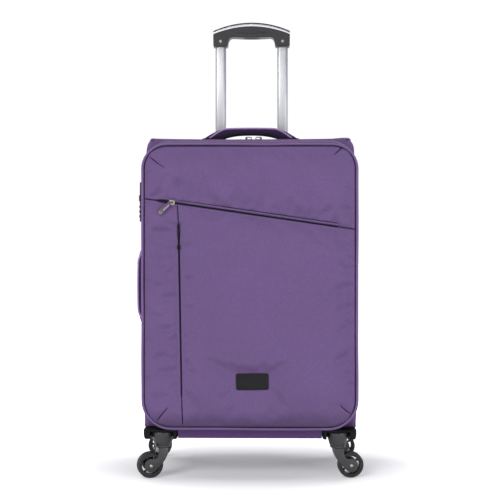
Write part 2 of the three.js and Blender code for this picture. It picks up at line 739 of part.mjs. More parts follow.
function housing(sign, end) {
  const { inner, outer, bottom } = HOUSING;
  const [low, high] = HOUSING[end];
  const plan = roundedRect(outer - inner, high - low, 9, (sign * (inner + outer)) / 2, (low + high) / 2);
  const x = sign * CASTER_X;
  const y = CASTER_Y[end];
  const well = new THREE.CylinderGeometry(NICHE.radius, NICHE.radius, NICHE.top - bottom + 1, 24);
  well.rotateX(Math.PI / 2).translate(x, y, (NICHE.top + bottom - 1) / 2);
  const mouth = block(
    [x - NICHE.radius, end === "front" ? low - 1 : y, bottom - 1],
    [x + NICHE.radius, end === "front" ? y : high + 1, NICHE.top],
  );
  const plate = cut(prism("z", plan, bottom, TRAY_TOP), well, mouth);
  const profile = [
    [0, SOCKET_BOTTOM],
    [14, SOCKET_BOTTOM],
    [19.5, 86],
    [16.5, 91],
    [8, 93],
    [0, 93],
  ].map(([r, z]) => new THREE.Vector2(r, z));
  const socket = new THREE.LatheGeometry(profile, 24).rotateX(Math.PI / 2);
  return join(plate, socket.translate(x, y, 0));
}

// The fork trails towards +X from the swivel axis at the origin.
function fork() {
  const boss = new THREE.Shape();
  boss.moveTo(-8, SOCKET_BOTTOM - GAP);
  boss.lineTo(-8, 50);
  boss.quadraticCurveTo(-4, 33, TRAIL - 13, WHEEL_RADIUS - 6);
  boss.absarc(TRAIL, WHEEL_RADIUS, 13, Math.PI * 1.15, Math.PI * 2.6);
  boss.quadraticCurveTo(14, 42, 11, SOCKET_BOTTOM - GAP);
  boss.closePath();
  const slot = new THREE.CylinderGeometry(WHEEL_RADIUS + 2.5, WHEEL_RADIUS + 2.5, 22, 24);
  const bore = new THREE.CylinderGeometry(2.2 + GAP, 2.2 + GAP, 40, 12);
  return cut(
    prism("y", boss, -14, 14, 6),
    slot.translate(TRAIL, 0, WHEEL_RADIUS),
    bore.translate(TRAIL, 0, WHEEL_RADIUS),
  );
}

function wheel() {
  const half = [
    [BORE, 8.5],
    [7, 8.5],
    [8, 2],
    [18, 2],
    [19.5, 9],
    [22.5, 10],
    [WHEEL_RADIUS, 7],
  ];
  const profile = [...half, ...half.map(([r, y]) => [r, -y]).reverse(), half[0]];
  return new THREE.LatheGeometry(profile.map(([r, y]) => new THREE.Vector2(r, y)).reverse(), 24);
}

function axle() {
  const half = [
    [0, 15.2],
    [2.8, 14.9],
    [3.6, 14 + GAP / 2],
    [1.9, 14 + GAP / 2],
  ];
  const profile = [...half, ...half.map(([r, y]) => [r, -y]).reverse()];
  return new THREE.LatheGeometry(profile.map(([r, y]) => new THREE.Vector2(r, y)).reverse(), 12);
}

for (const end of ["front", "rear"]) {
  for (const [side, sign] of [["left", -1], ["right", 1]]) {
    const corner = `${end}_${side}`;
    add(`housing_${corner}`, housing(sign, end), PLASTIC);
    const caster = new THREE.Group();
    const trailAngle = sign < 0 ? 180 : 0;
    caster.rotation.z = THREE.MathUtils.degToRad(trailAngle + CASTER_TURN[corner]);
    caster.position.set(sign * CASTER_X, CASTER_Y[end], 0);
    suitcase.add(caster);
    add(`fork_${corner}`, fork(), PLASTIC, caster);
    add(`wheel_${corner}`, wheel(), RUBBER, caster).position.set(TRAIL, 0, WHEEL_RADIUS);
    add(`axle_${corner}`, axle(), BRASS, caster).position.set(TRAIL, 0, WHEEL_RADIUS);
  }
}

// ---- Origin at the bottom centre of the case's box

const box = new THREE.Box3().setFromObject(suitcase);
suitcase.position.set(-(box.min.x + box.max.x) / 2, -(box.min.y + box.max.y) / 2, -box.min.z);

export default suitcase;
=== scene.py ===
"""Looks of a softside upright suitcase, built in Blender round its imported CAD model.

Lengths are in metres. The case's own places, written in millimetres from the middle of the front panel's
seam plane and from the floor, go through at(), and the driving sizes are read from the frame's boxes.
"""

import json
import math
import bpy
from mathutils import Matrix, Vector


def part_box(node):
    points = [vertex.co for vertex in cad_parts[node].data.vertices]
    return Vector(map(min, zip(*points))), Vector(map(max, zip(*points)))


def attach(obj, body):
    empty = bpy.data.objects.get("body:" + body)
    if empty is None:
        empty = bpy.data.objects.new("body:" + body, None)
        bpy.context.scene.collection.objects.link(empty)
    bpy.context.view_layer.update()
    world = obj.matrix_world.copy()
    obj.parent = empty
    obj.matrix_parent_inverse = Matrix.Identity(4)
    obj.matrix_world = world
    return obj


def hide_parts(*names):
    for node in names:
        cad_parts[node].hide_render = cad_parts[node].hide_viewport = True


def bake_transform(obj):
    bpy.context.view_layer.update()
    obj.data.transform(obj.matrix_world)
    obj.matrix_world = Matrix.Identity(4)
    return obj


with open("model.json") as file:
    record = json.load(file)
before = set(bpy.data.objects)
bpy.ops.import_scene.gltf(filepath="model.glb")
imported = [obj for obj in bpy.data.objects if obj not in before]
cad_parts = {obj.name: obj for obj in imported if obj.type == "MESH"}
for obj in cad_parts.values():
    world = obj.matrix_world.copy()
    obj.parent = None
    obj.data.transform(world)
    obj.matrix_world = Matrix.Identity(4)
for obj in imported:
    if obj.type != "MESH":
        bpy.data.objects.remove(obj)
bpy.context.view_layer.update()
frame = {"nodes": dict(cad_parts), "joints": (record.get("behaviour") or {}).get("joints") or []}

from types import SimpleNamespace

import bmesh
import bpy
from mathutils import Vector, noise

MM = 0.001
TAU = 2 * math.pi


# ----------------------------------------------------------------------------------------------------
# Places and sizes from the frame

def span(node):
    """A CAD node's box as named numbers, in millimetres."""
    low, high = (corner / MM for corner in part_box(node))
    middle = (low + high) / 2
    return SimpleNamespace(
        x0=low.x, x1=high.x, y0=low.y, y1=high.y, z0=low.z, z1=high.z,
        cx=middle.x, cy=middle.y, cz=middle.z, w=high.x - low.x, d=high.y - low.y, h=high.z - low.z,
    )


LID = span("lid_front_panel")
GUSSET = span("lid_gusset")
RIM = span("front_rim")
ZIP = span("zip_tape_body")
LEFT, RIGHT = span("left_side_panel"), span("right_side_panel")
TOP, BACK, TRAY = span("top_panel"), span("back_panel"), span("base_tray")
PANEL_CROWN = 8.0  # how far the front panel stands in front of its seam
X0 = LID.cx
Y0 = LID.y0 + PANEL_CROWN
LID_HALF = LID.w / 2
BODY_HALF = (RIGHT.x1 - LEFT.x0) / 2
LID_CORNER = 50.0
LID_FOOT = 8.0  # how much rounder the lid's lower corners are
LID_LOW = LID.z0 - 2.2  # the padded lid hangs a little below its frame
JOINTS = {joint["name"]: joint for joint in frame["joints"]}


def at(x, y, z):
    """A place in the frame from millimetres: x from the case's middle, y from the front seam, z up."""
    return Vector((X0 + x, Y0 + y, z)) * MM


# ----------------------------------------------------------------------------------------------------
# Materials

class Nodes:
    """A material's node tree, with short calls for the nodes that the looks share."""

    def __init__(self, name):
        self.material = bpy.data.materials.new(name)
        self.material.use_nodes = True
        self.tree = self.material.node_tree
        self.shader = self.tree.nodes["Principled BSDF"]
        self.place = self.add("ShaderNodeTexCoord").outputs["Object"]

    def add(self, kind, **settings):
        node = self.tree.nodes.new(kind)
        for key, value in settings.items():
            setattr(node, key, value)
        return node

    def feed(self, socket, value):
        if isinstance(value, bpy.types.NodeSocket):
            self.tree.links.new(value, socket)
        else:
            socket.default_value = value

    def math(self, operation, *values):
        node = self.add("ShaderNodeMath", operation=operation)
        for socket, value in zip(node.inputs, values):
            self.feed(socket, value)
        return node.outputs[0]

    def vector(self, operation, *values):
        node = self.add("ShaderNodeVectorMath", operation=operation)
        for socket, value in zip(node.inputs, values):
            self.feed(socket, value)
        return node.outputs["Value" if operation == "DOT_PRODUCT" else "Vector"]

    def noise(self, scale, detail=3.0, roughness=0.5, stretch=None):
        node = self.add("ShaderNodeTexNoise")
        node.inputs["Scale"].default_value = scale
        node.inputs["Detail"].default_value = detail
        node.inputs["Roughness"].default_value = roughness
        place = self.place
        if stretch:
            place = self.vector("MULTIPLY", place, stretch)
        self.feed(node.inputs["Vector"], place)
        return node.outputs["Fac"]

    def ramp(self, value, low, high, out_low=0.0, out_high=1.0):
        node = self.add("ShaderNodeMapRange")
        for key, number in zip(("From Min", "From Max", "To Min", "To Max"), (low, high, out_low, out_high)):
            node.inputs[key].default_value = number
        self.feed(node.inputs["Value"], value)
        return node.outputs["Result"]

    def mix(self, factor, first, second):
        node = self.add("ShaderNodeMix", data_type="RGBA")
        self.feed(node.inputs["Factor"], factor)
        self.feed(node.inputs["A"], first)
        self.feed(node.inputs["B"], second)
        return node.outputs["Result"]

    def bump(self, height, distance, strength=1.0, below=None):
        node = self.add("ShaderNodeBump")
        node.inputs["Strength"].default_value = strength
        node.inputs["Distance"].default_value = distance
        self.feed(node.inputs["Height"], height)
        if below is not None:
            self.feed(node.inputs["Normal"], below)
        return node.outputs["Normal"]

    def finish(self, color, roughness, normal=None, **constants):
        self.feed(self.shader.inputs["Base Color"], color)
        self.feed(self.shader.inputs["Roughness"], roughness)
        if normal is not None:
            self.feed(self.shader.inputs["Normal"], normal)
        for key, value in constants.items():
            self.shader.inputs[key.replace("_", " ")].default_value = value
        return self.material

    def normal(self):
        return self.add("ShaderNodeNewGeometry").outputs["Normal"]

    def part(self, axis, vector):
        """One axis of a vector."""
        parts = self.add("ShaderNodeSeparateXYZ")
        self.feed(parts.inputs[0], vector)
        return parts.outputs[axis]

    def smudged(self, lines, roughness):
        """Roughness of drawn metal: a little more along its lines and in soft smudges."""
        smudge = self.noise(26, 4, 0.6)
        along = self.ramp(lines, 0.3, 0.7, roughness, roughness + 0.12)
        return self.math("ADD", along, self.ramp(smudge, 0.4, 0.7, 0, 0.08))

    def weave(self, pitch):
        """Crossing threads, on whichever two axes lie in the surface."""
        waves = self.vector("SINE", self.vector("SCALE", self.place))
        waves.node.inputs[0].links[0].from_node.inputs["Scale"].default_value = TAU / pitch
        parts = self.add("ShaderNodeSeparateXYZ")
        self.feed(parts.inputs[0], waves)
        x, y, z = parts.outputs
        crossed = self.add("ShaderNodeCombineXYZ")
        for socket, pair in zip(crossed.inputs, ((y, z), (z, x), (x, y))):
            self.feed(socket, self.math("MULTIPLY", *pair))
        facing = self.vector("ABSOLUTE", self.normal())
        return self.vector("DOT_PRODUCT", crossed.outputs[0], facing)


def rgb(r, g, b):
    return (r, g, b, 1.0)


def fabric(name, shade, light, pitch=0.0011, depth=0.00012, sheen=0.18, tint=rgb(0.75, 0.6, 0.9)):
    """Woven polyester: crossing threads, heathered colour, rubbed patches, folds, and painted shade that
    darkens every face turning downwards.
    """
    n = Nodes(name)
    threads = n.weave(pitch)
    fleck = n.noise(1400, 2, 0.6)
    mottle = n.noise(420, 2, 0.7)
    patch = n.noise(11, 3, 0.5)
    tone = n.math("ADD", n.ramp(fleck, 0.3, 0.7, 0.0, 0.35), n.ramp(threads, -1, 1, 0.0, 0.25))
    tone = n.math("ADD", tone, n.ramp(mottle, 0.3, 0.7, 0.0, 0.32))
    tone = n.math("ADD", tone, n.ramp(patch, 0.3, 0.7, -0.03, 0.07))
    color = n.mix(n.math("MINIMUM", n.math("MAXIMUM", tone, 0.0), 1.0), shade, light)
    warm = rgb(light[0] * 1.12, light[1] * 0.96, light[2] * 0.88)
    color = n.mix(n.ramp(n.noise(7, 2), 0.35, 0.65, 0.0, 0.3), color, n.mix(0.35, shade, warm))
    # Painted shade: faces that turn downwards are mixed towards half the dark tone, as if they were in
    # shadow.
    under = rgb(*(0.5 * value for value in shade[:3]))
    color = n.mix(n.ramp(n.part("Z", n.normal()), -0.03, -0.50, 0.0, 0.85), color, under)
    folds = n.bump(n.noise(40, 3, 0.55), 0.0010, 0.22)
    normal = n.bump(threads, depth, 0.8, n.bump(fleck, depth * 0.7, 0.7, folds))
    return n.finish(
        color, n.ramp(fleck, 0.2, 0.8, 0.72, 0.9), normal,
        Sheen_Weight=sheen, Sheen_Roughness=0.45, Sheen_Tint=tint, Specular_IOR_Level=0.25,
    )


def plastic(name, color, worn, roughness=0.42, grain=2200, depth=0.00005, gloss=0.3):
    """Moulded plastic: fine grain, faint smears and edges rubbed smoother and paler."""
    n = Nodes(name)
    edge = n.ramp(n.add("ShaderNodeNewGeometry").outputs["Pointiness"], 0.52, 0.62)
    rubbed = n.math("MULTIPLY", edge, n.ramp(n.noise(90, 4), 0.35, 0.65))
    smear = n.noise(30, 4, 0.6, (1, 1, 0.4))
    tone = n.mix(n.math("MULTIPLY", rubbed, 0.6), color, worn)
    rough = n.ramp(smear, 0.3, 0.7, roughness, roughness + 0.14)
    rough = n.math("SUBTRACT", rough, n.math("MULTIPLY", rubbed, 0.12))
    return n.finish(tone, rough, n.bump(n.noise(grain, 2, 0.6), depth, 0.6), Specular_IOR_Level=gloss)


def brushed(name, color, dark, roughness, scale, stretch=(1, 1, 1)):
    """Polished metal with fine grain and duller smudges."""
    n = Nodes(name)
    lines = n.noise(scale, 2, 0.7, stretch)
    tone = n.mix(n.ramp(lines, 0.3, 0.75), dark, color)
    rough = n.smudged(lines, roughness)
    return n.finish(tone, rough, n.bump(lines, 0.00002, 0.5), Metallic=1.0)


def drawn_tube(name, color, left, right):
    """Satin aluminium extrusion: fine drawn lines, painted shade on both flanks (darker and cooler on the
    right), and a painted reflection that darkens it towards its foot.
    """
    n = Nodes(name)
    lines = n.noise(2600, 2, 0.7, (1.0, 1.0, 0.004))
    # Painted shade: faces that point to -x turn towards left, and faces that point to +x turn towards right.
    across = n.part("X", n.normal())
    tone = n.mix(n.ramp(n.math("MULTIPLY", across, -1.0), 0.25, 0.95), color, left)
    tone = n.mix(n.ramp(across, 0.25, 0.9), tone, right)
    tone = n.mix(n.ramp(lines, 0.35, 0.75, 0.0, 0.22), tone, left)
    # Painted reflection: below about 0.8 m the tube turns towards the darker tone, as if it mirrored the case
    # beneath.
    tone = n.mix(n.ramp(n.part("Z", n.place), 0.82, 0.68, 0.0, 0.75), tone, left)
    return n.finish(tone, n.smudged(lines, 0.34), n.bump(lines, 0.00002, 0.5), Metallic=0.85)


LOOK = SimpleNamespace(
    fabric=fabric("purple_fabric", rgb(0.062, 0.034, 0.102), rgb(0.154, 0.094, 0.232)),
    dark=fabric("dark_purple_fabric", rgb(0.046, 0.021, 0.086), rgb(0.096, 0.050, 0.160)),
    piping=fabric("piping_fabric", rgb(0.088, 0.050, 0.142), rgb(0.186, 0.116, 0.272), 0.0009, 0.00008),
    lilac=fabric("lilac_piping", rgb(0.24, 0.14, 0.36), rgb(0.42, 0.28, 0.54), 0.0009, 0.00008),
    insert=plastic("lilac_enamel", rgb(0.44, 0.28, 0.57), rgb(0.6, 0.45, 0.7), 0.4, 1600, 0.00003, 0.4),
    strap=fabric(
        "black_purple_webbing", rgb(0.010, 0.004, 0.020), rgb(0.028, 0.013, 0.050), 0.0013, sheen=0.05,
    ),
    # seam is near-black fabric for the thin cords in seams and darts: painted shade standing in for the
    # shadow in each groove.
    seam=fabric(
        "seam_shadow_fabric", rgb(0.006, 0.002, 0.016), rgb(0.018, 0.007, 0.038), 0.0009, sheen=0.0,
    ),
    # coil is darker than black nylon so that the zips also stand for the shade deep inside each slot: partly
    # real colour, partly painted shade.
    coil=fabric("zip_coil_nylon", rgb(0.002, 0.001, 0.005), rgb(0.007, 0.003, 0.014), 0.0009, sheen=0.0),
    tape=fabric("zip_tape", rgb(0.026, 0.012, 0.045), rgb(0.060, 0.032, 0.095), 0.0008),
    lining=fabric("grey_lining", rgb(0.035, 0.035, 0.042), rgb(0.075, 0.075, 0.085), 0.0016, sheen=0.2),
    black=plastic("black_plastic", rgb(0.004, 0.004, 0.004), rgb(0.022, 0.022, 0.023), gloss=0.1),
    satin=plastic(
        "satin_grey_plastic", rgb(0.015, 0.015, 0.017), rgb(0.06, 0.06, 0.065), 0.32, 3000, 0.00003, 0.40,
    ),
    socket=plastic("socket_plastic", rgb(0.016, 0.016, 0.018), rgb(0.06, 0.06, 0.065), 0.30, gloss=0.5),
    rubber=plastic("tread_rubber", rgb(0.018, 0.018, 0.019), rgb(0.055, 0.054, 0.052), 0.55, 900, 0.00012),
    badge=plastic(
        "badge_rubber", rgb(0.007, 0.0065, 0.008), rgb(0.03, 0.03, 0.032), 0.6, 1200, 0.00008, 0.18,
    ),
    pole=drawn_tube("drawn_aluminium", rgb(0.66, 0.66, 0.69), rgb(0.30, 0.30, 0.31), rgb(0.17, 0.19, 0.26)),
    chrome=brushed("chrome", rgb(0.86, 0.86, 0.88), rgb(0.70, 0.70, 0.74), 0.10, 700),
    brass=brushed("worn_brass", rgb(0.52, 0.46, 0.35), rgb(0.26, 0.23, 0.17), 0.24, 900),
    gunmetal=brushed("gunmetal", rgb(0.15, 0.14, 0.15), rgb(0.07, 0.065, 0.075), 0.24, 1500),
)


# ----------------------------------------------------------------------------------------------------
# Meshes

def mesh_object(name, points, faces, look, smooth=True):
    mesh = bpy.data.meshes.new(name)
    mesh.from_pydata([tuple(p) for p in points], [], faces)
    mesh.validate()
    mesh.polygons.foreach_set("use_smooth", [smooth] * len(mesh.polygons))
    mesh.materials.append(look)
    mesh.update()
    obj = bpy.data.objects.new(name, mesh)
    bpy.context.scene.collection.objects.link(obj)
    return obj


def face_outwards(obj):
    """Turn a closed mesh's faces so that they point out of it."""
    shape = bmesh.new()
    shape.from_mesh(obj.data)
    bmesh.ops.recalc_face_normals(shape, faces=shape.faces)
    shape.to_mesh(obj.data)
    shape.free()
    return obj


def ring_faces(rings, count, close_last=False):
    faces = []
    spans = rings if close_last else rings - 1
    for r in range(spans):
        for i in range(count):
            j = (i + 1) % count
            k = (r + 1) % rings
            faces.append((r * count + i, r * count + j, k * count + j, k * count + i))
    return faces


def loft(name, rings, look, capped=True, closed=False):
    """A skin through rings of equal length, capped at its ends or closed on itself."""
    count = len(rings[0])
    faces = ring_faces(len(rings), count, closed)
    if capped and not closed:
        faces.append(tuple(reversed(range(count))))
        last = (len(rings) - 1) * count
        faces.append(tuple(last + i for i in range(count)))
    return face_outwards(mesh_object(name, [p for ring in rings for p in ring], faces, look))


def cell_corners(r, i, count):
    """The vertices round cell i of row r in a sheet with count vertices to a row."""
    return (r * count + i, r * count + i + 1, (r + 1) * count + i + 1, (r + 1) * count + i)


def grid(name, rows, look):
    """An open sheet through rows of equal length."""
    count = len(rows[0])
    faces = [cell_corners(r, i, count) for r in range(len(rows) - 1) for i in range(count - 1)]
    return mesh_object(name, [p for row in rows for p in row], faces, look)


def slab(name, points, low, high, look):
    """A flat outline of 3-D points thickened along a direction: low and high are two offset vectors."""
    return loft(name, [[p + offset for p in points] for offset in (low, high)], look)


def sweep(name, path, section, look, closed=True):
    """A section, a function of (step, count) giving (sideways, up) points, swept along a path.

    The section's second axis stays as near to the frame's Y as the path allows.
    """
    rings = []
    last = len(path)
    for i, point in enumerate(path):
        before = path[i - 1] if closed or i > 0 else point
        after = path[(i + 1) % last] if closed or i < last - 1 else point
        along = (after - before).normalized()
        side = along.cross(Vector((0, 1, 0))).normalized()
        rise = side.cross(along)
        rings.append([point + side * a + rise * b for a, b in section(i, last)])
    return loft(name, rings, look, capped=not closed, closed=closed)


def circle(radius, sides):
    return [(radius * math.cos(TAU * k / sides), radius * math.sin(TAU * k / sides)) for k in range(sides)]


def disc(radius, sides=12):
    """A round section for sweep()."""
    points = circle(radius, sides)
    return lambda step, count: points


def tapered(radius, sides=8):
    """A round section that thins out at both ends of a path."""
    def section(step, count):
        return circle(radius * MM * (0.25 + 0.75 * math.sin(math.pi * step / (count - 1)) ** 0.4), sides)
    return section


def toothed(radius, sides, notch):
    """A round section that is smaller by the share notch at every other step, like a zip's coil."""
    def section(step, count):
        size = 1 - notch * (step % 2)
        return [(p * size, q * size) for p, q in circle(radius, sides)]
    return section


def subdivide(obj, levels=1):
    modifier = obj.modifiers.new("Subdivision", "SUBSURF")
    modifier.levels = modifier.render_levels = levels
    return obj


def thicken(obj, thickness, offset=-1):
    """Give a sheet the thickness of its cloth in millimetres, all on its inner side when offset is -1."""
    shell = obj.modifiers.new("Thickness", "SOLIDIFY")
    shell.thickness = thickness * MM
    shell.offset = offset
    return obj


def bevel(obj, width, segments=2, angle=35):
    modifier = obj.modifiers.new("Bevel", "BEVEL")
    modifier.width = width * MM
    modifier.segments = segments
    modifier.limit_method = "ANGLE"
    modifier.angle_limit = math.radians(angle)
    return obj


def merge(name, parts):
    """Join several solids into one object with the first one's materials."""
    bpy.ops.object.select_all(action="DESELECT")
    for part in parts:
        part.select_set(True)
    bpy.context.view_layer.objects.active = parts[0]
    bpy.ops.object.join()
    parts[0].name = name
    parts[0].data.name = name
    return parts[0]


def place(obj, body, slot, *nodes):
    """Settle a piece: the body it rides on, its material slot, which is not used, and the CAD nodes it stands
    for.
    """
    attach(obj, body)
    if nodes:
        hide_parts(*nodes)
    return obj


# ----------------------------------------------------------------------------------------------------
# Outlines

def between(low, high, step):
    """Evenly spaced numbers from low up to but not including high."""
    count = max(1, round((high - low) / step))
    return [low + (high - low) * i / count for i in range(count)]


def through(low, high, step):
    """Evenly spaced numbers from low to high, both included."""
    return between(low, high, step) + [high]


def outline(half, low, high, radius, foot=0.0, step=8.0, arc=8):
    """Points (x, z, nx, nz) round an upright rounded rectangle, with the same count for the same case size.

    Every straight side is cut into equal steps and every corner into arc steps; n is the outward normal.
    foot is added to the radius of the two lower corners.
    """
    across = round(2 * LID_HALF / step)
    up = round(LID.h / step)
    points = []
    lower = radius + foot
    tall = high - low - radius - lower
    sides = (
        ((half - radius, high - radius), radius, 0, across, (-1, 0), 2 * (half - radius)),
        ((radius - half, high - radius), radius, 90, up, (0, -1), tall),
        ((lower - half, low + lower), lower, 180, across, (1, 0), 2 * (half - lower)),
        ((half - lower, low + lower), lower, 270, up, (0, 1), tall),
    )
    for (cx, cz), radius, start, count, (dx, dz), length in sides:
        for i in range(arc):
            angle = math.radians(start + 90 * i / arc)
            nx, nz = math.cos(angle), math.sin(angle)
            points.append((cx + radius * nx, cz + radius * nz, nx, nz))
        angle = math.radians(start + 90)
        nx, nz = math.cos(angle), math.sin(angle)
        for i in range(count):
            t = length * i / count
            points.append((cx + radius * nx + dx * t, cz + radius * nz + dz * t, nx, nz))
    return points


def ring(half, low, high, radius, y, out=0.0, **shape):
    """The outline as points of the frame at depth y, moved outwards by out, a number or out(x, z)."""
    points = []
    for x, z, nx, nz in outline(half, low, high, radius, **shape):
        push = out(x, z) if callable(out) else out
        points.append(at(x + nx * push, y, z + nz * push))
    return points


def rounded_rect(width, depth, corner, arc=6):
    """Points (u, v) round a rectangle centred on the origin."""
    points = []
    for su, sv, start in ((1, 1, 0), (-1, 1, 90), (-1, -1, 180), (1, -1, 270)):
        for k in range(arc + 1):
            angle = math.radians(start + 90 * k / arc)
            points.append((
                su * (width / 2 - corner) + corner * math.cos(angle),
                sv * (depth / 2 - corner) + corner * math.sin(angle),
            ))
    return points


def wrinkle(x, y, z, size=40.0, seed=0.0):
    """Smooth noise from -1 to 1, with folds about size millimetres across."""
    return noise.noise(Vector((x / size + seed, y / size - seed, z / size + 2 * seed)))


def smoothstep(t):
    t = min(max(t, 0.0), 1.0)
    return t * t * (3 - 2 * t)


# ----------------------------------------------------------------------------------------------------
# Cloth

def billow(obj, pinned, pressure, slack, cap, frames=18, bending=0.6, stiffness=12.0):
    """Swell a sheet of fabric by cloth simulation between its pinned vertices and keep the result.

    slack is how much longer the cloth is cut than the space it spans, and cap, in millimetres, is how far a
    point may move. The result is applied, so that no Cloth modifier is left.
    """
    group = obj.vertex_groups.new(name="pinned")
    group.add(pinned, 1.0, "REPLACE")
    modifier = obj.modifiers.new("Cloth", "CLOTH")
    cloth = modifier.settings
    cloth.quality = 6
    cloth.mass = 0.2
    cloth.tension_stiffness = cloth.compression_stiffness = stiffness
    cloth.shear_stiffness = stiffness / 2
    cloth.bending_stiffness = bending
    cloth.air_damping = 4.0
    cloth.vertex_group_mass = group.name
    cloth.shrink_min = -slack
    cloth.use_pressure = True
    cloth.uniform_pressure_force = pressure
    cloth.effector_weights.gravity = 0.0
    modifier.collision_settings.use_collision = False
    modifier.collision_settings.use_self_collision = False
    modifier.point_cache.frame_start = 1
    modifier.point_cache.frame_end = frames
    scene = bpy.context.scene
    for step in range(1, frames + 1):
        scene.frame_set(step)
    result = obj.evaluated_get(bpy.context.evaluated_depsgraph_get()).to_mesh()
    moved = [v.co.copy() for v in result.vertices]
    for vertex, target in zip(obj.data.vertices, moved):
        shift = target - vertex.co
        if shift.length > cap * MM:
            shift.length = cap * MM
        vertex.co += shift
    obj.modifiers.remove(modifier)
    obj.vertex_groups.clear()
    scene.frame_set(1)
    obj.data.update()
    return obj


# ----------------------------------------------------------------------------------------------------
# Lid: front panel

SEAM = 5.2  # the front panel's cloth starts this far inside the lid's outline, behind the piping
PANEL_HALF = LID_HALF - SEAM
PANEL_LOW, PANEL_HIGH = LID_LOW + SEAM, LID.z1 - SEAM
PANEL_RADIUS = LID_CORNER - SEAM
ROLL = 3.0  # the cloth turns under by this much at the seam
POCKET = ((-177.7, 537.7), (170.9, 486.7))
FLAP = ((-135.7, 494.8), (-129.8, 161.5))
SLOT_HALF = 2.3
SLOT_DEPTH = 4.2
SLOT_GAPE = 1.7  # how much wider each slot opens near its head, where its slider is


def line_through(a, b, value, axis):
    """The other coordinate where the line through two (x, z) points has this one."""
    t = (value - a[axis]) / (b[axis] - a[axis])
    return a[1 - axis] + (b[1 - axis] - a[1 - axis]) * t


def pocket_z(x):
    return line_through(*POCKET, x, 0)


def flap_x(z):
    return line_through(*FLAP, z, 1)


def round_corners(x, z):
    """Move a point of the panel's full rectangle into its rounded outline."""
    middle = (PANEL_HIGH + PANEL_LOW) / 2
    radius = PANEL_RADIUS + LID_FOOT * (z < middle)
    cx, cz = PANEL_HALF - radius, (PANEL_HIGH - PANEL_LOW) / 2 - radius
    a = (abs(x) - cx) / radius
    b = (abs(z - middle) - cz) / radius
    if a <= 0 or b <= 0:
        return x, z
    round_a, round_b = a * math.sqrt(1 - b * b / 2), b * math.sqrt(1 - a * a / 2)
    return (
        math.copysign(cx + radius * round_a, x),
        middle + math.copysign(cz + radius * round_b, z - middle),
    )


def crease(x, z, a, b, width, depth, fade=0.25):
    """A valley along the line from a to b, fading at both ends."""
    along = Vector((b[0] - a[0], b[1] - a[1]))
    offset = Vector((x - a[0], z - a[1]))
    t = offset.dot(along) / along.length_squared
    if not 0 < t < 1:
        return 0.0
    across = (offset - along * t).length
    return depth * math.exp(-((across / width) ** 2)) * smoothstep(t / fade) * smoothstep((1 - t) / fade)


# Sewn darts at the corners, the seams that go on past each slot, and soft folds at the slots' ends:
# from, to, half width and depth of each valley.
FOLDS = (
    ((-196.0, 625.0), (-160.0, 598.0), 1.8, 1.8),
    ((186.0, 646.0), (158.0, 621.5), 1.8, 1.5),
    ((-186.0, 107.0), (-152.0, 147.0), 1.8, 1.4),
    ((193.0, 130.0), (170.0, 151.0), 1.8, 1.4),
    ((-206.0, 541.5), (-172.0, 537.0), 1.3, 1.3),
    ((166.0, 487.2), (207.0, 481.5), 1.3, 1.3),
    ((-138.0, 534.0), (-135.4, 488.0), 1.4, 1.5),
    ((-130.0, 166.0), (-127.0, 102.0), 1.4, 1.5),
    ((-180.0, 535.0), (-150.0, 600.0), 9.0, 1.6),
    ((-172.0, 540.0), (-120.0, 575.0), 11.0, 1.2),
    ((172.0, 487.0), (125.0, 545.0), 10.0, 1.2),
    ((-130.0, 160.0), (-80.0, 128.0), 10.0, 1.0),
    ((-134.0, 500.0), (-92.0, 470.0), 12.0, 0.9),
    ((-185.0, 470.0), (-140.0, 440.0), 13.0, 0.8),
)


def in_slot(x, z, a, b):
    """How far inside a slot's straight run a point is, from 0 to 1, and how far it lies across it."""
    along = Vector((b[0] - a[0], b[1] - a[1]))
    offset = Vector((x - a[0], z - a[1]))
    t = offset.dot(along) / along.length
    reach = smoothstep(t / 6) * smoothstep((along.length - t) / 6)
    across = offset - along.normalized() * t
    side = math.copysign(across.length, along.x * offset.y - along.y * offset.x)
    return reach, side


def slot_half(x, z, a, b):
    """Half the width of a slot beside a point: it gapes near its head, a, and narrows towards its foot, b."""
    share = min(math.dist((x, z), a) / math.dist(a, b), 1)
    head = math.exp(-(((math.dist((x, z), a) - 16) / 12) ** 2))
    return SLOT_HALF * (1 - 0.25 * share) + SLOT_GAPE * head


def cloth_y(x, z):
    """The front panel's cloth without its seams: how far in front of the seam plane, as a negative y."""
    dx = PANEL_HALF - abs(x)
    dz = min(z - PANEL_LOW, PANEL_HIGH - z)
    rise = 1.0
    for d, width, power in ((dx, 62, 2.3), (PANEL_HIGH - z, 62, 2.3), (z - PANEL_LOW, 34, 2.0)):
        rise *= 1 - (1 - min(max(d, 0) / width, 1)) ** power
    edge = min(max(dx, 0), max(dz, 0))
    under = ROLL * (1 - smoothstep(edge / 3.2))
    rolling = 0.7 * wrinkle(x, 0, z, 120, 3.1) + 0.28 * wrinkle(x, 0, z, 38, 7.7)
    gather = 0.35 * wrinkle(x, 0, z, 11, 1.3) * math.exp(-((edge / 14) ** 2))
    return under - PANEL_CROWN * rise - (rolling * min(edge / 25, 1) + gather) * rise ** 0.3


def front_y(x, z, swell):
    """The finished front panel: the cloth with its slots, seams and folds."""
    y = cloth_y(x, z)
    if swell:
        y += swell(x, z)
    for fold in FOLDS:
        y += crease(x, z, *fold)
    for slot in (POCKET, FLAP):
        reach, side = in_slot(x, z, *slot)
        if reach <= 0 or abs(side) > 40:
            continue
        half = slot_half(x, z, *slot)
        groove = SLOT_DEPTH * (1 - smoothstep((abs(side) - half + 1.2) / 1.2))
        tuck = 1.1 * math.exp(-((side / 9) ** 2))
        stitched = 0.5 * math.exp(-(((abs(side) - 6.5) / 0.9) ** 2))
        y += reach * (groove + tuck + stitched)
        if slot is POCKET and side > 0:
            y -= reach * 1.0 * smoothstep((side - 1.5) / 1.0) * (1 - smoothstep((side - 5) / 12))
    return y


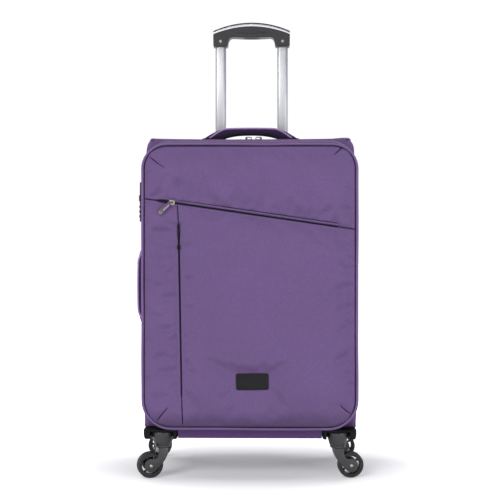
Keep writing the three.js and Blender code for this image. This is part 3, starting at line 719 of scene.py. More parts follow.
SLOT_STEPS = (0.5, 1.1, 1.7, 2.3, 2.8, 3.6, 4.4, 5.6, 6.5, 7.4, 10.0, 14.0)
NEAR_SLOT = [-step for step in reversed(SLOT_STEPS)] + [0.0] + list(SLOT_STEPS)
NEAR_EDGE = (0.0, 0.8, 1.6, 2.4, 3.4, 5.0)


def grid_lines(low, high, slot, step):
    """Places from low to high, closer together near both edges and near a slot."""
    lines = [low + e for e in NEAR_EDGE[:-1]]
    lines += between(low + NEAR_EDGE[-1], slot + NEAR_SLOT[0], step) + [slot + n for n in NEAR_SLOT[:-1]]
    lines += between(slot + NEAR_SLOT[-1], high - NEAR_EDGE[-1], step)
    return lines + [high - e for e in reversed(NEAR_EDGE)]


def panel_grid(step, swell):
    """Rows of points over the front panel, lined up with its two slots."""
    flap_middle = flap_x((PANEL_LOW + PANEL_HIGH) / 2)
    pocket_middle = pocket_z(0)
    flap_inside = 1 - abs(flap_middle) / PANEL_HALF
    rows = []
    for level in grid_lines(PANEL_LOW, PANEL_HIGH, pocket_middle, step):
        below, above = pocket_middle - PANEL_LOW, PANEL_HIGH - pocket_middle
        follow = min(1, (level - PANEL_LOW) / below, (PANEL_HIGH - level) / above)
        row = []
        for column in grid_lines(-PANEL_HALF, PANEL_HALF, flap_middle, step):
            inside = 1 - abs(column) / PANEL_HALF
            z = level
            for _ in range(2):
                x = column + (flap_x(z) - flap_middle) * inside / flap_inside * min(1, inside * 3)
                z = level + (pocket_z(x) - pocket_middle) * follow
            place_x, place_z = round_corners(x, z)
            row.append(at(place_x, front_y(x, z, swell), place_z))
        rows.append(row)
    return rows


def field(heights, x_low, x_high, z_low, z_high):
    """A smooth function (x, z) through a regular grid of heights."""
    count_z, count_x = len(heights), len(heights[0])

    def spline(p, t):
        a, b, c, d = p
        return b + 0.5 * t * (c - a + t * (2 * a - 5 * b + 4 * c - d + t * (3 * (b - c) + d - a)))

    def value(x, z):
        u = min(max((x - x_low) / (x_high - x_low), 0), 1) * (count_x - 1)
        v = min(max((z - z_low) / (z_high - z_low), 0), 1) * (count_z - 1)
        i, j = min(int(u), count_x - 2), min(int(v), count_z - 2)
        lines = []
        for jj in range(j - 1, j + 3):
            line = heights[min(max(jj, 0), count_z - 1)]
            lines.append(spline([line[min(max(ii, 0), count_x - 1)] for ii in range(i - 1, i + 3)], u - i))
        return spline(lines, v - j)
    return value


def panel_swell():
    """Simulate the front panel's cloth on a coarse grid and return how far it swells at each (x, z)."""
    step = 7.5
    xs = through(-PANEL_HALF, PANEL_HALF, step)
    zs = through(PANEL_LOW, PANEL_HIGH, step)
    rows = []
    pinned = []
    for j, z in enumerate(zs):
        row = []
        for i, x in enumerate(xs):
            px, pz = round_corners(x, z)
            row.append(at(px, cloth_y(x, z), pz))
            beside = [in_slot(x, z, *slot) for slot in (POCKET, FLAP)]
            near_slot = any(reach > 0 and abs(side) < 9 for reach, side in beside)
            near_badge = abs(x - BADGE.x) < 36 and abs(z - BADGE.z) < 22
            if i in (0, len(xs) - 1) or j in (0, len(zs) - 1) or near_slot or near_badge:
                pinned.append(j * len(xs) + i)
        rows.append(row)
    cloth = grid("front_cloth", rows, LOOK.fabric)
    before = [v.co.y for v in cloth.data.vertices]
    billow(cloth, pinned, pressure=1.0, slack=0.010, cap=4.0)
    moved = [(v.co.y - b) / MM for v, b in zip(cloth.data.vertices, before)]
    heights = [moved[j * len(xs):(j + 1) * len(xs)] for j in range(len(zs))]
    bpy.data.objects.remove(cloth)
    rise = field(heights, -PANEL_HALF, PANEL_HALF, PANEL_LOW, PANEL_HIGH)
    # The foot of the panel is held tauter, by the frame that it rolls under.
    return lambda x, z: rise(x, z) * (0.3 + 0.7 * smoothstep((z - PANEL_LOW - 15) / 60))


badge_box = span("badge")
BADGE = SimpleNamespace(x=badge_box.cx - X0, z=badge_box.cz, w=badge_box.w, h=badge_box.h)
swell = panel_swell()
front = face_outwards(grid("front_panel", panel_grid(4.6, swell=swell), LOOK.fabric))
if front.data.polygons[0].normal.y > 0:
    front.data.flip_normals()
place(front, "lid", "purple_fabric", "lid_front_panel")


def on_panel(points, lift, step=3.0):
    """A path over the finished front panel through (x, z) points, lifted off it by lift millimetres."""
    path = []
    for a, b in zip(points, points[1:]):
        pieces = max(1, round(math.dist(a, b) / step))
        for i in range(pieces + (b == points[-1])):
            x, z = (a[k] + (b[k] - a[k]) * i / pieces for k in (0, 1))
            path.append(at(x, front_y(x, z, swell) - lift, z))
    return path


# Sewn darts at the corners, and the seams that go on past the ends of each slot
SEWN = (
    ((-192.5, 622.0), (-177.6, 610.2), (-162.5, 600.2)),
    ((183.0, 643.0), (172.6, 635.0), (161.0, 624.5)),
    ((-177.5, 116.0), (-167.0, 130.0), (-156.0, 142.5)),
    ((193.5, 130.5), (182.0, 138.0), (172.0, 147.5)),
    ((-202.0, 540.8), (-190.0, 539.3), (-176.0, 537.4)),
    ((169.0, 487.0), (186.0, 484.5), (202.5, 482.0)),
    ((-138.5, 530.0), (-137.0, 512.0), (-135.6, 494.0)),
    ((-129.8, 163.0), (-129.0, 135.0), (-128.2, 108.0)),
)
# Each dart is drawn as a thin near-black cord: painted shade for the shadow in its fold.
darts = [sweep("dart_shade", on_panel(points, 0.2), tapered(1.05), LOOK.seam, closed=False) for points in SEWN]
place(merge("front_dart_shades", darts), "lid", "dark_purple_fabric")


def wavy_ring(half, low, high, radius, y, seed):
    """A closed path round the lid that wanders a little, as a sewn seam does."""
    points = []
    for x, z, nx, nz in outline(half, low, high, radius, LID_FOOT, step=6.0, arc=10):
        push = wrinkle(x, 0, z, 95, seed)
        points.append(at(x + nx * push, y + 0.3 * wrinkle(x, 0, z, 30, seed + 5), z + nz * push))
    return points


PIPE = 2.4  # radius of the piping round the lid
SEAM_INSET = 2 * PIPE + 1.0


def lid_ring(name, inset, y, section, look, slot):
    """A cord round the front of the lid, inset from its outline."""
    path = wavy_ring(LID_HALF - inset, LID_LOW + inset, LID.z1 - inset, LID_CORNER - inset, y, 2.2)
    place(sweep(name, path, section, look), "lid", slot)


lid_ring("front_piping", PIPE, 0.6, disc(PIPE * MM), LOOK.piping, "purple_fabric")

# The pocket's folded lip lies along the upper side of its slot, with a seam above it drawn as a near-black
# cord, painted shade for that seam's groove.
LIP = SimpleNamespace(width=3.6, thick=1.5, offset=4.2, seam=6.6)


def beside_pocket(offset, start, end, lift):
    """A path parallel to the pocket's slot, offset upwards, between two x positions."""
    path = []
    for x in through(start, end, 4.0):
        z = pocket_z(x) + offset
        path.append(at(x, cloth_y(x, z) - lift + (swell(x, z) if swell else 0), z))
    return path


def lip_section(step, count):
    share = step / (count - 1)
    size = smoothstep(share / 0.10) * 0.8 + 0.2
    return [(u * MM * size, v * MM) for u, v in rounded_rect(LIP.width, LIP.thick, 0.7, 3)]


lip_path = beside_pocket(LIP.offset, -147.0, 171.0, 0.2)
lip = sweep("pocket_lip", lip_path, lip_section, LOOK.fabric, closed=False)
place(lip, "lid", "purple_fabric")
lip_seam = sweep(
    "pocket_lip_seam_shade", beside_pocket(LIP.seam, -140.0, 168.0, 0.15), tapered(0.8), LOOK.seam, closed=False,
)
place(lip_seam, "lid", "dark_purple_fabric")

# A near-black cord inside the piping: painted shade for the shadow in the groove beside it.
lid_ring("front_seam_shade", SEAM_INSET, 1.4, disc(1.1 * MM, 8), LOOK.seam, "dark_purple_fabric")

# ---- Gusset: the strip of fabric between the front panel and the main zip

GUSSET_STEPS = 10


def mixed(first, last, t):
    """The number a share t of the way from first to last."""
    return first * (1 - t) + last * t


ZIP_HALF, ZIP_LOW, ZIP_HIGH, ZIP_RADIUS = ZIP.w / 2, ZIP.z0, ZIP.z1, 42.0
LID_BACK = GUSSET.y1 - Y0
gusset_rings = []
for k in range(GUSSET_STEPS + 1):
    t = k / GUSSET_STEPS
    depth = 1.5 + (LID_BACK - 1.5) * t
    bulge = 1.2 * math.sin(math.pi * t)
    gusset_rings.append(ring(
        mixed(LID_HALF - 1.8, ZIP_HALF + 0.6, t),
        mixed(LID_LOW + 1.2, ZIP_LOW - 0.4, t),
        mixed(LID.z1 - 1.2, ZIP_HIGH + 0.2, t),
        mixed(LID_CORNER - 1.2, ZIP_RADIUS, t),
        depth,
        lambda x, z: bulge * (1 + 0.45 * wrinkle(x, depth, z, 26, 4.4)) + 0.3 * wrinkle(x, depth, z, 9, 6.4),
        foot=LID_FOOT * (1 - t),
    ))
gusset = mesh_object(
    "lid_side_strip", [p for r in gusset_rings for p in r],
    ring_faces(len(gusset_rings), len(gusset_rings[0])), LOOK.fabric,
)
thicken(gusset, 1.6)
place(gusset, "lid", "purple_fabric", "lid_gusset")


# ---- Body: one padded strip over the left side, the top and the right side

BODY_LOW = LEFT.z0
RIM_FACE = RIM.y0 - Y0
BODY_HIGH = TOP.z1
SIDE_CROWN = 3.5
WRAP_HALF = BODY_HALF - SIDE_CROWN
WRAP_TOP = BODY_HIGH - SIDE_CROWN
SHOULDER = 29.0  # the sides lean inwards over this height below the top corners
LEAN = 7.0
FLARE = 3.0  # how far the sides spread at their feet
COLLAR = span("handle_collar")
HOLE = SimpleNamespace(x=COLLAR.w / 2 + 0.4, y0=COLLAR.y0 - Y0 - 0.4, y1=COLLAR.y1 - Y0 + 0.4)


def lean(z):
    """How far the body's sides stand inwards of a plain box at this height."""
    near_top = min(max(1 - (WRAP_TOP - z) / SHOULDER, 0), 1)
    return LEAN * near_top ** 2.2 - FLARE * (1 - smoothstep((z - BODY_LOW) / 90))


def body_path(inset=0.0, corner=4.0, step=5.6):
    """Points (x, z, nx, nz) up the left side, over the top and down the right side."""
    half, top = WRAP_HALF - inset, WRAP_TOP - inset
    left = []
    for z in between(BODY_LOW, top - corner, step):
        left.append((-half + lean(z), z, -1.0, 0.0))
    peak = half - LEAN
    for k in range(5):
        angle = math.radians(180 - 90 * k / 5)
        c, s = math.cos(angle), math.sin(angle)
        left.append((-peak + corner + corner * c, top - corner + corner * s, c, s))
    across = between(-peak + corner, -HOLE.x, step) + between(-HOLE.x, HOLE.x, step)
    across += between(HOLE.x, peak - corner, step)
    roof = [(x, top, 0.0, 1.0) for x in across]
    right = [(-x, z, -nx, nz) for x, z, nx, nz in reversed(left)]
    return left + roof + [(peak - corner, top, 0.0, 1.0)] + right


def roof_wave(x, z):
    """The top dips a little between its corners."""
    if z < WRAP_TOP - 10:
        return 0.0
    return 1.8 * (abs(x) / WRAP_HALF) ** 14 - 2.0 * (1 - (abs(x) / WRAP_HALF) ** 2)


WRAP_FRONT, WRAP_BACK = LEFT.y0 - Y0, BACK.y0 - Y0 + 1.5
wrap_rows = between(WRAP_FRONT, HOLE.y0, 5.6) + between(HOLE.y0, HOLE.y1, 5.6) + [HOLE.y1, WRAP_BACK]


def wrap_out(x, y, z, nz):
    t = 2 * (y - (WRAP_FRONT + WRAP_BACK) / 2) / (WRAP_BACK - WRAP_FRONT)
    swell_here = SIDE_CROWN * (1 - abs(t) ** 3)
    foot = smoothstep((z - BODY_LOW) / 30) * 0.5 + 0.5
    folds = 0.9 * wrinkle(x, y * 1.6, z * 0.55, 42, 9.1) + 0.3 * wrinkle(x, y, z, 14, 2.9)
    return swell_here * foot + folds * (1 - abs(t) ** 4) + roof_wave(x, z) * (nz > 0.5)


WRAP_PATH = body_path()
rows = [
    [at(x + nx * wrap_out(x, y, z, nz), y, z + nz * wrap_out(x, y, z, nz)) for x, z, nx, nz in WRAP_PATH]
    for y in wrap_rows
]
count = len(WRAP_PATH)


def over_hole(r, i):
    (xa, za, *_), (xb, *_) = WRAP_PATH[i], WRAP_PATH[i + 1]
    inside_x = abs((xa + xb) / 2) < HOLE.x and za > WRAP_TOP - 1
    return inside_x and HOLE.y0 - 0.1 < (wrap_rows[r] + wrap_rows[r + 1]) / 2 < HOLE.y1


cells = [(r, i) for r in range(len(rows) - 1) for i in range(count - 1)]
kept_cells = [cell_corners(r, i, count) for r, i in cells if not over_hole(r, i)]
wrap_faces = [(a, d, c, b) for a, b, c, d in kept_cells]  # turned round, to face outwards
wrap = mesh_object("body_wrap", [p for row in rows for p in row], wrap_faces, LOOK.fabric)
hole_edge = {index for r, i in cells if over_hole(r, i) for index in cell_corners(r, i, count)}
wrap_pinned = sorted(
    hole_edge
    | {i for i in range(count)}
    | {(len(rows) - 1) * count + i for i in range(count)}
    | {r * count for r in range(len(rows))}
    | {r * count + count - 1 for r in range(len(rows))}
)
billow(wrap, wrap_pinned, pressure=1.0, slack=0.014, cap=3.5)
thicken(wrap, 2.2)
place(wrap, "case", "purple_fabric", "left_side_panel", "right_side_panel", "top_panel")


def body_seam(name, y, inset, radius, look, seed, widest=2 * BODY_HALF):
    """A cord along the body's edge at depth y, kept within widest of the middle."""
    points = []
    for x, z, nx, nz in body_path(inset, step=6.5):
        push = 0.35 * wrinkle(x, y, z, 60, seed) + roof_wave(x, z) * (nz > 0.5)
        points.append(at(max(min(x + nx * push, widest), -widest), y, z + nz * push))
    place(sweep(name, points, disc(radius * MM, 10), look, closed=False), "case", "purple_fabric")


body_seam("body_front_piping", WRAP_FRONT - 0.6, -0.2, 2.1, LOOK.piping, 3.3)
body_seam("body_back_piping", WRAP_BACK + 0.6, -0.4, 2.5, LOOK.piping, 8.3)
# The seams are thin near-black cords: painted shade for the shadow along each seam.
body_seam("body_front_seam_shade", WRAP_FRONT + 2.4, -0.2, 0.9, LOOK.seam, 3.3)
body_seam("body_back_seam_shade", WRAP_BACK - 2.4, -0.2, 0.9, LOOK.seam, 8.3)
# This seam stays just behind the sliders' path.
body_seam("body_rim_seam_shade", RIM_FACE + 0.85, 3.6, 1.1, LOOK.seam, 3.3, WRAP_HALF - LEAN)


def rim_ring(half, low, high, radius, y, ripple=0.0):
    """A ring of the rim, the front edge of the body between its piping and the main zip."""
    points = []
    for x, z, nx, nz in outline(half, low, high, radius, foot=2 - radius if half > ZIP_HALF else 0):
        narrow = lean(z) * min(1, abs(x) / half) ** 4 * (half > ZIP_HALF)
        points.append(at(x - math.copysign(1, x) * narrow, y + ripple * wrinkle(x, y, z, 18, 1.9), z))
    return points


rim_hole = ZIP_HALF - 7
rim = loft("front_rim_cloth", [
    rim_ring(WRAP_HALF - 0.5, BODY_LOW, WRAP_TOP - 0.8, 9, RIM_FACE + 4),
    rim_ring(WRAP_HALF - 0.8, BODY_LOW, WRAP_TOP - 1.0, 9, RIM_FACE + 0.6),
    rim_ring(WRAP_HALF - 3.5, BODY_LOW + 1, WRAP_TOP - 3.5, 10, RIM_FACE - 0.6, 0.4),
    rim_ring(rim_hole + 3, RIM.z0 + 12.5, ZIP_HIGH - 4.5, ZIP_RADIUS, RIM_FACE - 0.4, 0.3),
    rim_ring(rim_hole, RIM.z0 + 15, ZIP_HIGH - 7, ZIP_RADIUS, RIM_FACE + 1),
    rim_ring(rim_hole, RIM.z0 + 15, ZIP_HIGH - 7, ZIP_RADIUS, RIM_FACE + 4),
], LOOK.fabric, closed=True)
place(rim, "case", "purple_fabric", "front_rim")


# ---- Main zip: two tapes with their coils, open at the hinge

HINGE = span("hinge_strip")
HINGE_OPEN = (HINGE.z0 - 4, HINGE.z1 + 4)


def zip_path(y, out):
    """The zip's line at depth y, out outside the tape's outline, from above the hinge round to below it."""
    points = [
        (x + nx * out, z + nz * out)
        for x, z, nx, nz in outline(ZIP_HALF, ZIP_LOW, ZIP_HIGH, ZIP_RADIUS, step=1.6, arc=40)
    ]
    on_right = [i for i, (x, z) in enumerate(points) if x > ZIP_HALF - 3]
    above = min((i for i in on_right if i > len(points) / 2 and points[i][1] > HINGE_OPEN[1]), default=0)
    below = max(i for i in on_right if i > len(points) / 2 and points[i][1] < HINGE_OPEN[0])
    order = points[above:] + points[:below + 1]
    return [at(x, y, z) for x, z in order]


ZIP_LINE = (span("zip_tape_lid").y1 + ZIP.y0) / 2 - Y0
for body, side, node in (("lid", -1, "zip_tape_lid"), ("case", 1, "zip_tape_body")):
    teeth = sweep(
        f"zip_coil_{body}", zip_path(ZIP_LINE + side * 1.0, 0.9), toothed(1.25 * MM, 7, 0.32),
        LOOK.tape, closed=False,
    )
    place(teeth, body, "zip_tape")
    frame["nodes"][node].data.materials.clear()
    frame["nodes"][node].data.materials.append(LOOK.tape)


# ---- Back panel, with a raised channel over each pole

POLE_X = (span("inner_tube_right").cx - span("inner_tube_left").cx) / 2
BACK_HALF, BACK_LOW, BACK_HIGH = BACK.w / 2 - 1.5, BACK.z0, BACK.z1
BACK_Y = BACK.y1 - Y0
CHANNEL = 24.0  # half width of each channel
FOOT_SEAM = 150.0  # height of the seam across the foot


def back_y(x, z):
    """The back panel's cloth: rounded edges, the channels, their seams and the seam across its foot."""
    dx, dz = BACK_HALF - abs(x), min(z - BACK_LOW, BACK_HIGH - z)
    edge = max(min(dx, dz), 0)
    rise = (1 - (1 - min(max(dx, 0) / 40, 1)) ** 2.2) * (1 - (1 - min(max(dz, 0) / 40, 1)) ** 2.2)
    y = BACK_Y - 3.2 * (1 - smoothstep(edge / 5)) + 1.6 * rise
    near_pole = abs(abs(x) - POLE_X)
    y += 3.0 * (1 - smoothstep((near_pole - CHANNEL * 0.55) / (CHANNEL * 0.45))) * smoothstep(edge / 20)
    y -= 1.5 * math.exp(-(((near_pole - CHANNEL - 1) / 1.1) ** 2)) * smoothstep(edge / 8)
    y -= 1.6 * math.exp(-(((z - FOOT_SEAM) / 1.3) ** 2)) * (near_pole > CHANNEL + 3)
    return y + (0.5 * wrinkle(x, 0, z * 0.6, 60, 5.5) + 0.25 * wrinkle(x, 0, z, 15, 6.5)) * min(edge / 15, 1)


near_channel = [POLE_X + side * (CHANNEL + 1) + n for side in (-1, 1) for n in (-3.0, -1.5, 0.0, 1.5, 3.0)]
columns = sorted(set(
    [-BACK_HALF, -BACK_HALF + 1.5, -BACK_HALF + 3, BACK_HALF - 3, BACK_HALF - 1.5, BACK_HALF]
    + between(-BACK_HALF + 5, BACK_HALF - 5, 6) + near_channel + [-c for c in near_channel]
))
levels = sorted(set(
    [BACK_LOW, BACK_LOW + 1.5, BACK_LOW + 3, BACK_HIGH - 3, BACK_HIGH - 1.5, BACK_HIGH]
    + between(BACK_LOW + 5, BACK_HIGH - 5, 6.5) + [FOOT_SEAM + n for n in (-3.5, -1.5, 0.0, 1.5, 3.5)]
))


def narrowed(x, z):
    """Points of the back that follow the body's inward lean near the top."""
    return x * (1 - lean(z) / BACK_HALF)


back_rows = [[at(narrowed(x, z), back_y(x, z), z) for x in columns] for z in levels]
back = grid("back_cloth", back_rows, LOOK.fabric)
if back.data.polygons[0].normal.y < 0:
    back.data.flip_normals()
thicken(back, 1.8)
place(back, "case", "purple_fabric", "back_panel")


# ---- Lining of the main compartment

def length(points):
    """The length of a path in metres."""
    return sum((b - a).length for a, b in zip(points, points[1:]))


LINING_INSET = 7.5
BOARD_Y = span("inner_back_board").y0 - Y0


def creased(x, y, z, nx, ny, nz):
    """A place on the lining, moved along its normal by the small folds of loose cloth."""
    return at(x, y, z) + Vector((nx, ny, nz)) * (0.8 * wrinkle(x, y, z, 35, 3.7) * MM)


lining_rows = [
    [creased(x, y, z, nx, 0, nz) for x, z, nx, nz in body_path(LINING_INSET, 10.0, 9.0)]
    for y in through(WRAP_FRONT + 1.2, BOARD_Y + 1, 12)
]
lining = thicken(grid("case_lining", lining_rows, LOOK.lining), 0.7)
place(lining, "case", "lining")

# Its floor lies over the tray and turns up at the back board.
FLOOR_Z = TRAY.z1 + 2.2
TURN = 7.0  # radius of that bend
floor_half = WRAP_HALF - LINING_INSET - 1.5
floor_profile = [(y, FLOOR_Z, 0.0, 1.0) for y in between(WRAP_FRONT + 4, BOARD_Y - TURN - 2, 9)]
for degrees in (0, 30, 60, 90):
    c, s = math.cos(math.radians(degrees)), math.sin(math.radians(degrees))
    floor_profile.append((BOARD_Y - 2 - TURN * (1 - s), FLOOR_Z + TURN * (1 - c), -s, c))
floor_profile += [(BOARD_Y - 2, FLOOR_Z + TURN + h, -1.0, 0.0) for h in (5, 10, 15)]
floor_rows = [
    [creased(x, y, z, 0, ny, nz) for y, z, ny, nz in floor_profile]
    for x in through(-floor_half, floor_half, 9)
]
floor_cloth = thicken(grid("floor_lining", floor_rows, LOOK.lining), 0.7, 0)
place(floor_cloth, "case", "lining")


def dress(look, *names, edge=0.0, segments=2, angle=35):
    """Show CAD nodes as they are, with a finish and rounded edges."""
    for name in names:
        obj = frame["nodes"][name]
        obj.data.materials.clear()
        obj.data.materials.append(look)
        if edge:
            bevel(obj, edge, segments, angle)


dress(LOOK.lining, "inner_back_board", "lid_lining", edge=0.6)
dress(LOOK.dark, "base_tray", edge=2.0, segments=3)
dress(LOOK.black, "handle_collar", edge=0.7)
dress(LOOK.black, "top_anchor_left", "top_anchor_right", "side_anchor_lower", "side_anchor_upper", edge=0.8)
dress(LOOK.pole, "outer_tube_left", "outer_tube_right")


# ---- Hinge strip: fabric sewn to the gusset and to the right side, where the lid turns

strip_low, strip_high = HINGE.z0 + 0.5, HINGE.z1 - 0.5
STRIP_PROFILE = (  # depth, half width of the case there: up the gusset, over the zip, on to the side
    (27, 204.0), (30, 204.3), (34, 204.6), (38, 205.2), (41, 206.0), (44, 206.9), (46, 207.3), (48, 207.5),
    (50, 207.6), (53, 207.6), (57, 207.5), (61, 207.4), (66, 207.2), (71, 207.2), (76, 207.3), (80, 207.4),
    (83, 207.3),
)
strip_rows = []
for z in through(strip_low, strip_high, 6.0):
    end = smoothstep(min(z - strip_low, strip_high - z) / 5)
    strip_rows.append([
        at(x - 0.7 * (1 - end) + 0.35 * wrinkle(0, y, z, 24, 4.9) * end, y, z) for y, x in STRIP_PROFILE
    ])
strip = thicken(grid("hinge_cloth", strip_rows, LOOK.piping), 1.2, 0)
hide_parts("hinge_strip")
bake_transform(strip)


# ----------------------------------------------------------------------------------------------------
# Poles and grip

def plan_rings(box, levels, corner, arc):
    """A box's rounded plan at each (inset, z) level."""
    rings = []
    for inset, z in levels:
        section = rounded_rect(box.w - 2 * inset, box.d - 2 * inset, max(corner - inset, 1.5), arc)
        rings.append([Vector((box.cx + u, box.cy + v, z)) * MM for u, v in section])
    return rings


def tube(node, body):
    """A drawn tube with rounded corners in place of a CAD tube."""
    box = span(node)
    levels = ((0.0, box.z0), (0.0, box.z1 - 0.5), (0.4, box.z1), (1.2, box.z1), (1.2, box.z0))
    obj = loft(f"{node}_drawn", plan_rings(box, levels, 6, 8), LOOK.pole, closed=True)
    bevel(obj, 0.2, 1, 50)
    place(obj, body, "pole_aluminium", node)


for side in ("left", "right"):
    tube(f"inner_tube_{side}", "handle_inner")
    tube(f"middle_tube_{side}", "handle_middle")

GRIP = span("grip")
GRIP_HALF = GRIP.w / 2
GRIP_RISE = 18.0
GRIP_RADIUS = (GRIP_HALF ** 2 + GRIP_RISE ** 2) / (2 * GRIP_RISE)
OPENING = 50.0
UNDERSIDE = 901.0


def arch_z(x, drop=0.0):
    """Height of the grip's arched top, lowered by drop."""
    return GRIP.z1 - GRIP_RADIUS + math.sqrt((GRIP_RADIUS - drop) ** 2 - x * x)


def solid_between(name, stations, look, low_y, high_y, edge, steps=3):
    """A slab through (x, low z, high z) stations, from low_y to high_y, with rounded edges."""
    rings = []
    for x, low, high in stations:
        section = []
        w, h = high_y - low_y, high - low
        corner = min(edge, h / 2.01, w / 2.01)
        for u, v in rounded_rect(w, h, corner, steps):
            section.append(at(x, (low_y + high_y) / 2 + u, (low + high) / 2 + v))
        rings.append(section)
    return loft(name, rings, look)


def grip_low(x):
    """Underside of the grip's bridge: a slight belly that curves down into the legs."""
    a = abs(x)
    belly = UNDERSIDE + 1.2 - 2.2 * (1 - (a / OPENING) ** 2) if a < OPENING else UNDERSIDE + 1.2
    corner = 11.0
    if a > OPENING - corner:
        t = min((a - (OPENING - corner)) / corner, 1)
        belly -= corner * (1 - math.sqrt(max(1 - t * t, 0)))
    return belly


GRIP_Y0, GRIP_Y1 = GRIP.y0 - Y0, GRIP.y1 - Y0
GRIP_BASE = GRIP.z0
profile = [(x, arch_z(x)) for x in through(-GRIP_HALF, GRIP_HALF, GRIP_HALF / 20)]
profile += [(GRIP_HALF - 0.6, GRIP_BASE), (OPENING + 1.0, GRIP_BASE)]
profile += [(x, grip_low(x)) for x in through(OPENING, -OPENING, -OPENING / 15)]
profile += [(-OPENING - 1.0, GRIP_BASE), (-GRIP_HALF + 0.6, GRIP_BASE)]
grip = slab(
    "grip_body", [at(x, GRIP_Y0, z) for x, z in profile], Vector((0, 0, 0)), Vector((0, GRIP.d * MM, 0)),
    LOOK.satin,
)
bevel(grip, 2.8, 4, 40).modifiers["Bevel"].harden_normals = True
place(grip, "handle_inner", "grip_plastic", "grip")

# A bright band follows the arch, and a lens-shaped ridge stands on the front below it.
stripe_stations = []
for x in through(-GRIP_HALF - 0.2, GRIP_HALF + 0.2, (GRIP_HALF + 0.2) / 24):
    taper = 1 - 0.25 * (abs(x) / GRIP_HALF) ** 4
    clamped = max(-GRIP_HALF + 0.01, min(GRIP_HALF - 0.01, x))
    stripe_stations.append((x, arch_z(clamped, 3.3) - 5.4 * taper, arch_z(clamped, 3.3)))
stripe = solid_between("grip_bright_band", stripe_stations, LOOK.chrome, GRIP_Y0 - 0.5, GRIP_Y1 + 0.5, 1.2)
place(stripe, "handle_inner", "chrome_trim", "grip_stripe")

RIDGE_HALF, RIDGE_Z = 34, 911.6
ridge_stations = []
for x in through(-RIDGE_HALF, RIDGE_HALF, RIDGE_HALF / 16):
    thick = 2.9 * math.cos(math.pi / 2 * x / (RIDGE_HALF + 0.5)) + 0.15
    middle = RIDGE_Z - 1.2 * (x / RIDGE_HALF) ** 2
    ridge_stations.append((x, middle - thick, middle + thick))
for label, low_y, high_y in (("front", GRIP_Y0 - 1.4, GRIP_Y0 + 2), ("back", GRIP_Y1 - 2, GRIP_Y1 + 1.4)):
    ridge = solid_between(f"grip_ridge_{label}", ridge_stations, LOOK.satin, low_y, high_y, 1.3)
    place(ridge, "handle_inner", "grip_plastic")
dress(LOOK.black, "grip_button", edge=0.8)
dress(LOOK.brass, "grip_screw_left", "grip_screw_right", edge=0.4)


# ----------------------------------------------------------------------------------------------------
# Carry handles

HANDLE_HALF, HANDLE_SHOULDER = 98.0, 45.0
HOLLOW = SimpleNamespace(half=64.0, low=3.0, high=13.8, power=2.6)  # the space for the fingers


def bezier(points, t):
    """The number at t on a cubic curve through four control numbers."""
    a, b, c, d = points
    s = 1 - t
    return a * s ** 3 + 3 * b * s * s * t + 3 * c * s * t * t + d * t ** 3


def carry_handle(name, rise, where):
    """A padded grip strap; where(u, v, w) is the place this far along it, across it and off the case."""
    half, shoulder = HANDLE_HALF, HANDLE_SHOULDER
    stations = []
    for k in range(15):
        t = k / 14
        u = bezier((half, half - 18, shoulder + 22, shoulder), t)
        top = bezier((3.2, rise * 0.55, rise * 0.95, rise - 1), t)
        stations.append((u, top))
    for k in range(1, 9):
        u = shoulder * (1 - k / 8)
        stations.append((u, rise - 0.2 - 0.8 * (u / shoulder) ** 2))
    stations += [(-u, top) for u, top in reversed(stations[:-1])]
    rings = []
    lines = {"front_low": [], "front_high": [], "back_low": [], "back_high": []}
    for u, top in stations:
        a = abs(u)
        hollow = max(0.0, 1 - (a / HOLLOW.half) ** HOLLOW.power)
        low = min(HOLLOW.low + (HOLLOW.high - HOLLOW.low) * hollow, top - 1.2)
        mid, tall = (top + low) / 2, top - low
        w = HANDLE_WIDTH * (1 - 0.10 * math.exp(-((a / 60) ** 4)))
        section = []
        for k in range(24):
            angle = TAU * k / 24
            c, s = math.cos(angle), math.sin(angle)
            v = math.copysign(abs(c) ** 0.42, c) * w / 2
            z = math.copysign(abs(s) ** 0.62, s) * tall / 2
            soft = 0.25 * wrinkle(u, v, z, 12, rise)
            section.append(where(u, v, mid + z + soft * (abs(s) > 0.3)))
        rings.append(section)
        for key in lines:
            v = (-1 if "front" in key else 1) * (w / 2 - (0.6 if "low" in key else 1.0))
            z = low + 1.4 if "low" in key else top - 1.6 - 5.5 * smoothstep((a - shoulder) / 38)
            lines[key].append(where(u, v, z))
    strap = loft(f"{name}_pad", rings, LOOK.strap)
    place(subdivide(strap), name, "purple_fabric", name)
    for key, points in lines.items():
        high = "high" in key
        cord = sweep(
            f"{name}_piping_{key}", points[4:-4] if high else points, disc((2.1 if high else 1.1) * MM, 10),
            LOOK.lilac if high else LOOK.strap, closed=False,
        )
        place(cord, name, "purple_fabric")


HANDLE_Y = span("top_anchor_left").cy - Y0
HANDLE_WIDTH = span("top_handle").d
carry_handle(
    "top_handle", span("top_handle").z1 - BODY_HIGH, lambda u, v, w: at(u, HANDLE_Y + v, BODY_HIGH + w),
)
SIDE = span("side_handle")
SIDE_X = LEFT.x0 - X0
carry_handle(
    "side_handle", LEFT.x0 - SIDE.x0, lambda u, v, w: at(SIDE_X - w, HANDLE_Y + v, SIDE.cz + u),
)


# ----------------------------------------------------------------------------------------------------
# Lock, badge, sliders and pulls

UPWARDS = Vector((0, 0, 1))
dress(LOOK.black, "lock_body", edge=0.6)
dress(LOOK.gunmetal, "lock_release", edge=0.5)


def lathe(name, profile, centre, axis, look, steps=48, ribs=None, closed=False):
    """A solid of revolution: profile gives (radius, along) and ribs(step) scales the radius."""
    axis = axis.normalized()
    side = axis.orthogonal().normalized()
    other = axis.cross(side)
    rings = []
    for r, a in profile:
        section = []
        for k, (u, v) in enumerate(circle(r, steps)):
            scale = ribs(k) if ribs else 1
            section.append(centre + ((side * u + other * v) * scale + axis * a) * MM)
        rings.append(section)
    return loft(name, rings, look, closed=closed)


